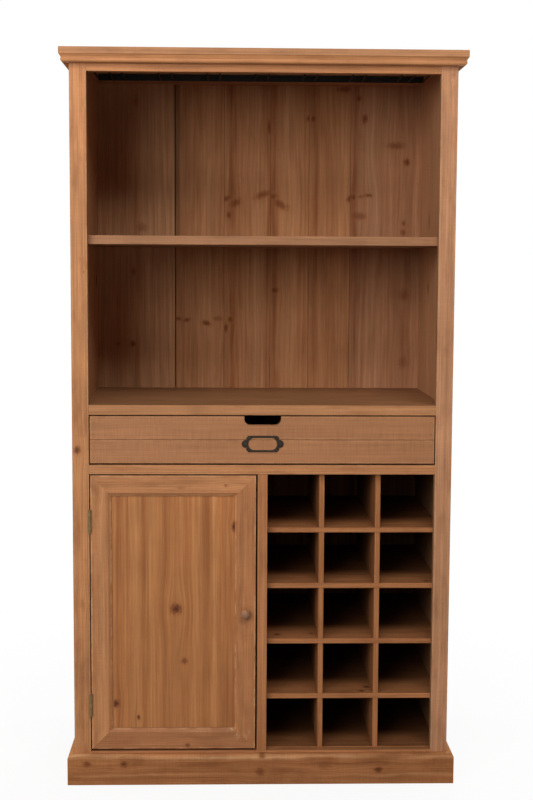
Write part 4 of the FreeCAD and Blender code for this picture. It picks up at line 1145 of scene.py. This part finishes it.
@dataclass
class BackWall(SubAssembly):
    """The upright boards of the back."""

    title: str = "back"
    # Painted shade: darker inside the gaps between the boards, and on the inner face in a strip round the
    # open joint of the first two boards in the upper bay.
    joints: PaintedShade = PaintedShade(Box((-FAR, 0.2425, -FAR), (FAR, 0.2505, FAR)), 0.22, 0.5 * MM)
    open_joint_shade: PaintedShade = PaintedShade(Box((-0.2230, -FAR, 1.29), (-0.2075, 0.2425, 1.80)), 0.62, 1.5 * MM)

    def finishes(self) -> dict[str, Finish]:
        """Choose the finish of each board, from the left.

        Returns:
            The finishes by node.
        """
        boards = (
            self.board(
                301,
                knots_at(
                    (1640, -321, 5.4, 0.37, 3), (1316, -306, 13.5, 0.37, 0.8), (1011, -332, 6.8, 0.59),
                    (1011, -371, 5.4, 0.44), (1200, -329, 4.1, 0.44, 2.5), (560, -300, 9.0, 0.8),
                    (420, -380, 7.0, 0.7),
                ),
                streaks_at((-270, 4.0, -0.3), (-321, 5.0, 0.25), (-380, 14.0, 0.2)),
                # Painted light: the paler stain lifts this board where the stile's shadow falls.
                BACK_PAINTED_LIGHT_STAIN,
            ),
            self.board(
                302,
                knots_at(
                    (1077, -211, 8.1, 0.52, 0.7), (1074, -190, 9.5, 0.52, 0.5, 0.3),
                    (1066, -138, 10.8, 0.67, 0.55, -0.3), (1078, -108, 12.2, 0.37, 0.5),
                    (640, -150, 8.0, 0.8),
                ),
                streaks_at((-130, 18.0, -0.35), (-196, 6.0, 0.2)),
            ),
            self.board(
                303,
                knots_at(
                    (1392, -86, 12.2, 0.55, 0.5, 0.5), (1381, -61, 14.9, 0.55, 0.55, 0.6),
                    (1348, -79, 6.1, 0.59, 1.4), (1402, 9, 20.2, 0.52, 0.4, 0.4), (1576, 25, 4.7, 0.59, 3.5),
                    (1076, -76, 6.1, 0.59), (1054, -87, 5.4, 0.59, 2), (520, -30, 8.0, 0.8),
                ),
                streaks_at((-72, 9.0, 0.65), (-6, 16.0, -0.3), (22, 5.0, 0.45)),
            ),
            self.board(
                304,
                knots_at(
                    (1377, 56, 18.9, 0.55, 0.5, -0.5), (1398, 36, 10.8, 0.52, 0.7),
                    (1599, 126, 4.7, 0.52, 1.6), (1153, 42, 8.8, 0.63, 0.8), (700, 80, 9.0, 0.8),
                ),
                streaks_at((40, 8.0, 0.7), (75, 18.0, -0.2), (118, 4.0, 0.45)),
            ),
            self.board(
                305,
                knots_at(
                    (1675, 221, 20.2, 0.52, 0.35), (1599, 140, 5.4, 0.59, 1.4), (1393, 235, 6.8, 0.59),
                    (600, 190, 8.0, 0.8),
                ),
                streaks_at((147, 7.0, 0.5), (215, 14.0, -0.25), (180, 8.0, 0.15)),
            ),
            self.board(
                306,
                knots_at(
                    (1651, 258, 6.8, 0.52), (1599, 274, 6.8, 0.59, 1.7), (1531, 357, 21.6, 0.48, 0.4),
                    (1488, 386, 8.1, 0.67), (1397, 246, 6.1, 0.59), (1399, 265, 6.8, 0.44, 0.5),
                    (1402, 286, 9.5, 0.59, 0.5), (1348, 262, 18.9, 0.44, 0.5), (1330, 379, 5.4, 0.52),
                    (1306, 379, 6.8, 0.52), (1142, 383, 12.2, 0.37, 1.2), (963, 383, 13.5, 0.37, 1.3),
                    (560, 320, 9.0, 0.8),
                ),
                streaks_at((251, 9.0, 0.7), (297, 20.0, -0.3), (385, 12.0, 0.35)),
                BACK_COOL_STAIN,
            ),
        )
        return {f"back_board_{number}": board for number, board in enumerate(boards, start=1)}

    def board(
        self, seed: int, knots: tuple[Knot, ...], streaks: tuple[Streak, ...], stain: Stain = BACK_STAIN
    ) -> PineFinish:
        """The finish of one back board.

        Args:
            seed: Seed of its figure.
            knots: Its knots.
            streaks: Its streaks.
            stain: Its stain.

        Returns:
            The finish.
        """
        return PineFinish(
            stain, Grain.UPRIGHT, seed, stripe=0.45, stripe_width=16.0 * MM, ring=0.15, wave=4.0 * MM,
            bend=0.3, cloud=0.12, saw=0.03, mottle=0.16, seam=0.12, sheen=0.08, roughness=0.62,
            knots=knots, streaks=streaks, shades=(self.joints, self.open_joint_shade),
        )


@dataclass
class TopAndPlinth(SubAssembly):
    """Top board, cornice and plinth."""

    title: str = "top and plinth"
    # Painted shade: the underside of the top board over the upper bay.
    ceiling_shade: PaintedShade = PaintedShade(Box((-0.42, -0.2, 1.6), (0.42, 0.26, 1.69)), 0.6, 4.0 * MM)
    narrow_stripe: float = 8.0 * MM
    cornice_seam: float = 0.15

    def finishes(self) -> dict[str, Finish]:
        """Choose the finish of the top board and of each moulding.

        Returns:
            The finishes by node.
        """
        finishes: dict[str, Finish] = {
            "top_board": PineFinish(
                SHELF_STAIN, Grain.SHELF, 401, shades=(self.ceiling_shade,),
                knots=knots_at((-180, 60, 8.0, 0.7), (260, -90, 9.0, 0.8)),
            ),
            "cornice_front": PineFinish(
                FRAME_STAIN, Grain.LEVEL, 402, stripe_width=self.narrow_stripe, seam=self.cornice_seam
            ),
            "plinth_front": PineFinish(
                PLINTH_STAIN, Grain.LEVEL, 405, saw=0.16, mottle=0.48, seam=0.0, sheen=0.08, roughness=0.7,
                knots=knots_at(
                    (-408.8, 50.2, 7.5, 0.6, 1.3), (-322.3, 49.7, 7.0, 0.75, 1.2),
                    (-3.0, 29.9, 10.0, 0.55, 1.0), (276.7, 34.5, 8.5, 0.75, 1.0),
                    (150, 46, 9.0, 0.25, 1.6), (2, 69, 6.0, 0.6, 1.2),
                ),
                # The pale streak at 66 mm is a painted highlight along the rounded top edge.
                streaks=streaks_at(
                    (14, 5.0, 0.3), (32, 6.0, 0.25), (49, 6.0, 0.35), (66, 4.5, -0.6), (24, 3.0, -0.2),
                ),
            ),
        }
        # Painted light: the plinth's returns wear the paler frame stain instead of the plinth's own, lifting
        # their tops out of shade.
        returns = (
            ("cornice_left", 403, self.cornice_seam), ("cornice_right", 404, self.cornice_seam),
            ("plinth_left", 406, 0.0), ("plinth_right", 407, 0.0),
        )
        matt = {"sheen": 0.02, "roughness": 0.85}
        for name, seed, seam in returns:
            finishes[name] = PineFinish(FRAME_STAIN, Grain.DEEP_SIDE, seed, seam=seam, **matt)
        return finishes


@dataclass
class BottleRack(SubAssembly):
    """Halved shelves and dividers of the bottle rack."""

    title: str = "bottle rack"
    # Painted shade: the shelves and dividers darker behind their front edges and darker still deeper in the
    # cells.
    shades: tuple[PaintedShade, ...] = (behind(-0.2075, 0.55, 1.5 * MM), behind(-0.11, 0.55, 0.07))

    def finishes(self) -> dict[str, Finish]:
        """Choose the finish of each shelf and divider.

        Returns:
            The finishes by node.
        """
        return {
            "rack_shelf_1": self.slat(Grain.SHELF, 501, (240, -190, 6.0), (255, -160, 7.0)),
            "rack_shelf_2": self.slat(Grain.SHELF, 502, (38, -170, 6.0), (120, -165, 4.0)),
            "rack_shelf_3": self.slat(Grain.SHELF, 503, (390, -185, 5.0)),
            "rack_shelf_4": self.slat(Grain.SHELF, 504),
            "rack_divider_1": self.slat(Grain.UPRIGHT_SIDE, 505),
            "rack_divider_2": self.slat(Grain.UPRIGHT_SIDE, 506),
        }

    def slat(self, grain: Grain, seed: int, *knots: Sequence[float]) -> PineFinish:
        """The finish of one shelf or divider of the rack."""
        matt = {"sheen": 0.06, "roughness": 0.62}
        return PineFinish(RACK_STAIN, grain, seed, shades=self.shades, knots=knots_at(*knots), **matt)


@dataclass
class Door(SubAssembly):
    """The framed door with its panel and knob."""

    title: str = "door"
    # Painted shade: the panel darker towards the bottom.
    panel_shade: PaintedShade = below(0.36, 0.93, 0.12)

    def finishes(self) -> dict[str, Finish]:
        """Choose the finish of each stile and rail, the panel and the knob.

        Returns:
            The finishes by node.
        """
        upright = {"wear": 0.45, "saw": 0.09, "cloud": 0.28}
        return {
            "door_stile_left": PineFinish(
                DOOR_STAIN, Grain.UPRIGHT, 601, streaks=streaks_at((-390, 4.0, 0.2), (-372, 5.0, -0.2)),
                knots=knots_at((700, -388, 7.0, 0.3, 2.0, 0.5)), **upright,
            ),
            "door_stile_right": PineFinish(
                RAIL_STAIN, Grain.UPRIGHT, 602, streaks=streaks_at((-32, 4.0, 0.2), (-48, 5.0, 0.15)),
                knots=knots_at((402, -36, 15.0, 0.22, 1.6)),
                scuffs=scuffs_at(
                    (128, -63, 4.0, 3.0, 0.9), (104, -38, 12.0, 4.0, 0.4), (120, -30, 8.0, 3.0, 0.35),
                ),
                **upright,
            ),
            "door_rail_top": PineFinish(
                DOOR_STAIN, Grain.LEVEL, 603, wear=0.4, saw=0.08, cloud=0.26,
                knots=knots_at((-85, 709, 4.0, 0.5), (-190, 704, 3.0, 0.35, 4.0)),
            ),
            "door_rail_bottom": PineFinish(
                DOOR_FOOT_STAIN, Grain.LEVEL, 604, wear=0.3, saw=0.11, cloud=0.3,
                knots=knots_at((-174, 90, 5.5, 0.65, 1.1)),
                scuffs=scuffs_at(
                    (-70, 128, 8.0, 3.0, 0.7), (-56, 112, 5.0, 8.0, 0.5), (-150, 124, 30.0, 2.0, 0.35),
                ),
            ),
            "door_panel": PineFinish(
                PANEL_STAIN, Grain.UPRIGHT, 605, stripe=0.5, stripe_width=16.0 * MM, ring=0.12, wave=4.0 * MM,
                saw=0.03, mottle=0.16, shades=(self.panel_shade,),
                knots=knots_at(
                    (415.4, -200.9, 13.0, 0.95, 0.95), (290.7, -181.1, 8.0, 0.65, 1.0),
                    (188.8, -341.1, 8.0, 0.95, 1.2), (154.7, -289.6, 4.5, 0.9, 1.4),
                    (611.2, -64.5, 6.5, 1.0, 1.8),
                ),
                # The dark streak at -337 mm along the panel's left edge is a painted shadow.
                streaks=streaks_at(
                    (-337, 6.0, 0.5), (-317, 5.0, 0.3), (-276, 10.0, 0.52), (-228, 8.0, 0.45),
                    (-200, 8.0, 0.2), (-178, 10.0, 0.25), (-167, 4.0, 0.25), (-130, 13.0, 0.62),
                    (-84, 15.0, 0.55), (-69, 5.0, 0.4), (-297, 10.0, -0.25), (-256, 7.0, -0.2),
                    (-154, 9.0, -0.1), (-111, 6.0, -0.45),
                ),
            ),
            "door_knob": PineFinish(KNOB_STAIN, Grain.DEEP_FLAT, 606, seam=0.0, sheen=0.25, roughness=0.45),
        }


@dataclass
class Hardware(SubAssembly):
    """Butt hinges and catch of the door."""

    title: str = "door hardware"
    screws: tuple[DrivenScrews, ...] = (
        DrivenScrews("hinge_frame_screws", "cabinet", Vector((1, 0, 0)), Recess.CROSS, 0.4, 21),
        DrivenScrews("hinge_door_screws", "door", Vector((-1, 0, 0)), Recess.CROSS, 0.4, 22),
    )

    def finishes(self) -> dict[str, Finish]:
        """The finish of each leaf, of the pins and of the catch."""
        leaves = dict.fromkeys(("hinge_frame_leaves", "hinge_door_leaves", "hinge_pins"), BRONZE)
        return {**leaves, "magnet_catch": BROWN_PLASTIC, "catch_strike": SCREW_STEEL}

    def build(self) -> None:
        """Cut the driver recesses of the hinge screws."""
        for screws in self.screws:
            SCREW_STEEL.dress(screws.build())


@dataclass
class Drawer(SubAssembly):
    """The drawer with its front boards, box, label holder and brads."""

    title: str = "drawer"
    screws: DrivenScrews = DrivenScrews("label_screws", "drawer", Vector((0, -1, 0)), Recess.SLOT, 0.22, 31)
    brad_radius: float = 1.1 * MM
    brad_stand: float = 0.12 * MM
    brad_inset: float = 9.0 * MM
    brad_sides: int = 14
    brad_heights: tuple[float, ...] = (0.24, 0.74)
    brad_profile: tuple[Pair, ...] = ((0.55, 0.85), (0.9, 0.4), (1.0, -1.0))

    def finishes(self) -> dict[str, Finish]:
        """Choose the finish of the front boards, of the box and of the label holder.

        Returns:
            The finishes by node.
        """
        face = {
            "stripe": 0.15, "ring": 0.06, "fibre": 0.24, "mottle": 0.10,
            "cloud": 0.10, "saw": 0.20, "wear": 0.15,
        }
        box = {"sheen": 0.15}
        return {
            "drawer_front_upper": PineFinish(DRAWER_STAIN, Grain.LEVEL, 701, **face),
            "drawer_front_lower": PineFinish(DRAWER_STAIN, Grain.LEVEL, 702, **face),
            "drawer_side_left": PineFinish(PLAIN_STAIN, Grain.DEEP_SIDE, 703, **box),
            "drawer_side_right": PineFinish(PLAIN_STAIN, Grain.DEEP_SIDE, 704, **box),
            "drawer_back": PineFinish(PLAIN_STAIN, Grain.LEVEL, 705, **box),
            "drawer_bottom": PineFinish(PLAIN_STAIN, Grain.SHELF, 706, **box),
            "label_holder": LABEL_METAL,
        }

    def build(self) -> None:
        """Make the brads and cut the slots of the label's screws."""
        LABEL_SCREW.dress(self.screws.build())
        BRAD_STEEL.dress(new_piece("drawer_brads", self._brads(), "drawer"))

    def _brads(self) -> bpy.types.Mesh:
        """Low domed heads of the brads that hold the front boards to the drawer's sides.

        Returns:
            One mesh of all the heads.
        """
        shape = bmesh.new()
        for name in ("drawer_front_upper", "drawer_front_lower"):
            low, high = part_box(name)
            for share in self.brad_heights:
                for x in (low.x + self.brad_inset, high.x - self.brad_inset):
                    self._brad(shape, Vector((x, low.y, low.z + share * (high.z - low.z))))
        for face in shape.faces:
            face.smooth = True
        mesh = bpy.data.meshes.new("drawer_brads")
        shape.to_mesh(mesh)
        shape.free()
        return mesh

    def _brad(self, shape: bmesh.types.BMesh, middle: Vector) -> None:
        """Add one head.

        Args:
            shape: The mesh to add to.
            middle: Its place on the front's face.
        """
        crown = shape.verts.new(middle + Vector((0, -self.brad_stand, 0)))
        rings = []
        for share, lift in self.brad_profile:
            ring = []
            for k in range(self.brad_sides):
                angle = math.tau * k / self.brad_sides
                reach = self.brad_radius * share
                offset = Vector((reach * math.cos(angle), -self.brad_stand * lift, reach * math.sin(angle)))
                ring.append(shape.verts.new(middle + offset))
            rings.append(ring)
        for k in range(self.brad_sides):
            after = (k + 1) % self.brad_sides
            shape.faces.new((crown, rings[0][k], rings[0][after]))
            for inner, outer in zip(rings, rings[1:]):
                shape.faces.new((inner[k], outer[k], outer[after], inner[after]))
        shape.faces.new(rings[-1][::-1])


@dataclass
class StemwareRack(SubAssembly):
    """The black metal rack for glasses under the ceiling."""

    title: str = "stemware rack"
    screws: DrivenScrews = DrivenScrews("stem_screws", "cabinet", Vector((0, 0, -1)), Recess.CROSS, 0.35, 41)

    def finishes(self) -> dict[str, Finish]:
        """The black coat of the bar, the wires and the hangers."""
        return dict.fromkeys(("stem_rear_bar", "stem_wires", "stem_hangers"), BLACK_COAT)

    def build(self) -> None:
        """Cut the driver recesses of the rack's screws."""
        BLACK_COAT.dress(self.screws.build())


@dataclass(frozen=True)
class Lamp:
    """A soft rectangular studio lamp."""

    name: str
    place: Vector
    target: Vector
    width: float
    height: float
    watts: float
    colour: Colour = WHITE

    def build(self) -> None:
        """Put the lamp into the scene."""
        data = bpy.data.lights.new(self.name, "AREA")
        data.shape = "RECTANGLE"
        data.size, data.size_y = self.width, self.height
        data.energy = self.watts
        data.color = self.colour
        lamp = bpy.data.objects.new(self.name, data)
        lamp.location = self.place
        lamp.rotation_euler = (self.target - self.place).to_track_quat("-Z", "Y").to_euler()
        bpy.context.scene.collection.objects.link(lamp)


@dataclass
class Studio:
    """Floor, light and camera."""

    warm: ClassVar[Colour] = (1.0, 0.99, 0.97)
    lamps: tuple[Lamp, ...] = (
        Lamp("high_lamp", Vector((0.5, -2.7, 3.5)), Vector((0, -0.23, 1.1)), 2.2, 1.2, 60.0, warm),
        Lamp("front_lamp", Vector((-2.1, -3.9, 2.1)), Vector((0, -0.23, 1.1)), 2.8, 1.6, 112.0, warm),
        Lamp("left_lamp", Vector((-3.6, 1.2, 2.0)), Vector((-0.44, 0.05, 0.9)), 1.6, 1.6, 60.0),
        Lamp("right_lamp", Vector((3.6, 1.2, 2.0)), Vector((0.44, 0.05, 0.9)), 1.6, 1.6, 60.0),
        Lamp("back_lamp", Vector((0.8, 4.2, 2.2)), Vector((0, 0.25, 0.9)), 2.0, 1.6, 110.0),
    )
    ambient: float = 0.08
    floor_reach: float = 30.0
    floor_colour: Colour = (0.35, 0.35, 0.35)
    floor_shown: Colour = (0.9, 0.9, 0.9)
    floor_share: float = 0.9
    floor_fade: Pair = (0.5, 1.6)
    eye: Vector = Vector((-76.36, -3331.15, 1208.71)) * MM
    yaw: float = math.radians(1.566)
    pitch: float = math.radians(5.532)
    roll: float = math.radians(-0.286)
    focal_pixels: float = 1352.4
    sensor: float = 36.0
    sight: float = 100.0

    def build(self) -> None:
        """Set up the floor, world, lamps, camera and view."""
        self._floor()
        self._world()
        for lamp in self.lamps:
            lamp.build()
        self._camera()
        bpy.context.scene.view_settings.view_transform = "Standard"

    @staticmethod
    def _seen(graph: Graph) -> Wire:
        """One for rays from the camera, off a shine or through glass, and zero for other rays."""
        path = graph.node("ShaderNodeLightPath", output="Is Camera Ray")
        return path + path.also("Is Glossy Ray") + path.also("Is Transmission Ray")

    def _floor(self) -> None:
        """Lay a plain pale floor that shows the cabinet's shadow."""
        reach = self.floor_reach
        mesh = bpy.data.meshes.new("floor")
        corners = [(-reach, -reach, 0), (reach, -reach, 0), (reach, reach, 0), (-reach, reach, 0)]
        mesh.from_pydata(corners, [], [range(len(corners))])
        floor = bpy.data.objects.new("floor", mesh)
        bpy.context.scene.collection.objects.link(floor)
        material = bpy.data.materials.new("floor_finish")
        material.use_nodes = True
        graph = Graph(material.node_tree)
        place = graph.node("ShaderNodeTexCoord", output="Object")
        away = graph.node("ShaderNodeVectorMath", {"operation": "LENGTH"}, {0: place}, "Value")
        white_share = away.between(*self.floor_fade) * (1.0 - self.floor_share) + self.floor_share
        seen = self._seen(graph)
        tone = graph.mix(seen, self.floor_colour, self.floor_shown)
        matt = graph.node("ShaderNodeBsdfDiffuse", None, {"Color": tone})
        white = graph.node("ShaderNodeEmission", None, {"Color": WHITE, "Strength": 1.0})
        blend = graph.node("ShaderNodeMixShader", None, {0: seen * white_share, 1: matt, 2: white})
        graph.close(blend, "ShaderNodeOutputMaterial")
        mesh.materials.append(material)

    def _world(self) -> None:
        """Light the scene from all round, and show white to the camera."""
        world = bpy.data.worlds.new("studio")
        world.use_nodes = True
        bpy.context.scene.world = world
        graph = Graph(world.node_tree)
        soft = graph.node("ShaderNodeBackground", None, {"Color": WHITE, "Strength": self.ambient})
        white = graph.node("ShaderNodeBackground", None, {"Color": WHITE, "Strength": 1.0})
        blend = graph.node("ShaderNodeMixShader", None, {0: self._seen(graph), 1: soft, 2: white})
        graph.close(blend, "ShaderNodeOutputWorld")

    def _camera(self) -> None:
        """Set the camera at the photograph's place and angle."""
        forward = Vector(
            (
                math.sin(self.yaw) * math.cos(self.pitch),
                math.cos(self.yaw) * math.cos(self.pitch),
                -math.sin(self.pitch),
            )
        )
        level = Vector((math.cos(self.yaw), -math.sin(self.yaw), 0))
        down = forward.cross(level)
        right = math.cos(self.roll) * level + math.sin(self.roll) * down
        down = -math.sin(self.roll) * level + math.cos(self.roll) * down
        data = bpy.data.cameras.new("camera")
        data.sensor_fit = "VERTICAL"
        data.sensor_height = self.sensor
        data.lens = self.focal_pixels * self.sensor / IMAGE_HEIGHT
        data.clip_end = self.sight
        camera = bpy.data.objects.new("camera", data)
        turn = Matrix((right, -down, -forward)).transposed().to_4x4()
        camera.matrix_world = Matrix.Translation(self.eye) @ turn
        bpy.context.scene.collection.objects.link(camera)
        bpy.context.scene.camera = camera


def main() -> None:
    """Build the studio and every sub-assembly."""
    logging.basicConfig(level=logging.INFO, format="%(message)s")
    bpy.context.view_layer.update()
    Studio().build()
    parts: tuple[SubAssembly, ...] = (
        FaceFrame(), Carcass(), BackWall(), TopAndPlinth(), BottleRack(), Door(), Hardware(), Drawer(),
        StemwareRack(),
    )
    for part in parts:
        part.build()
        part.dress()


if __name__ == "__main__":
    main()
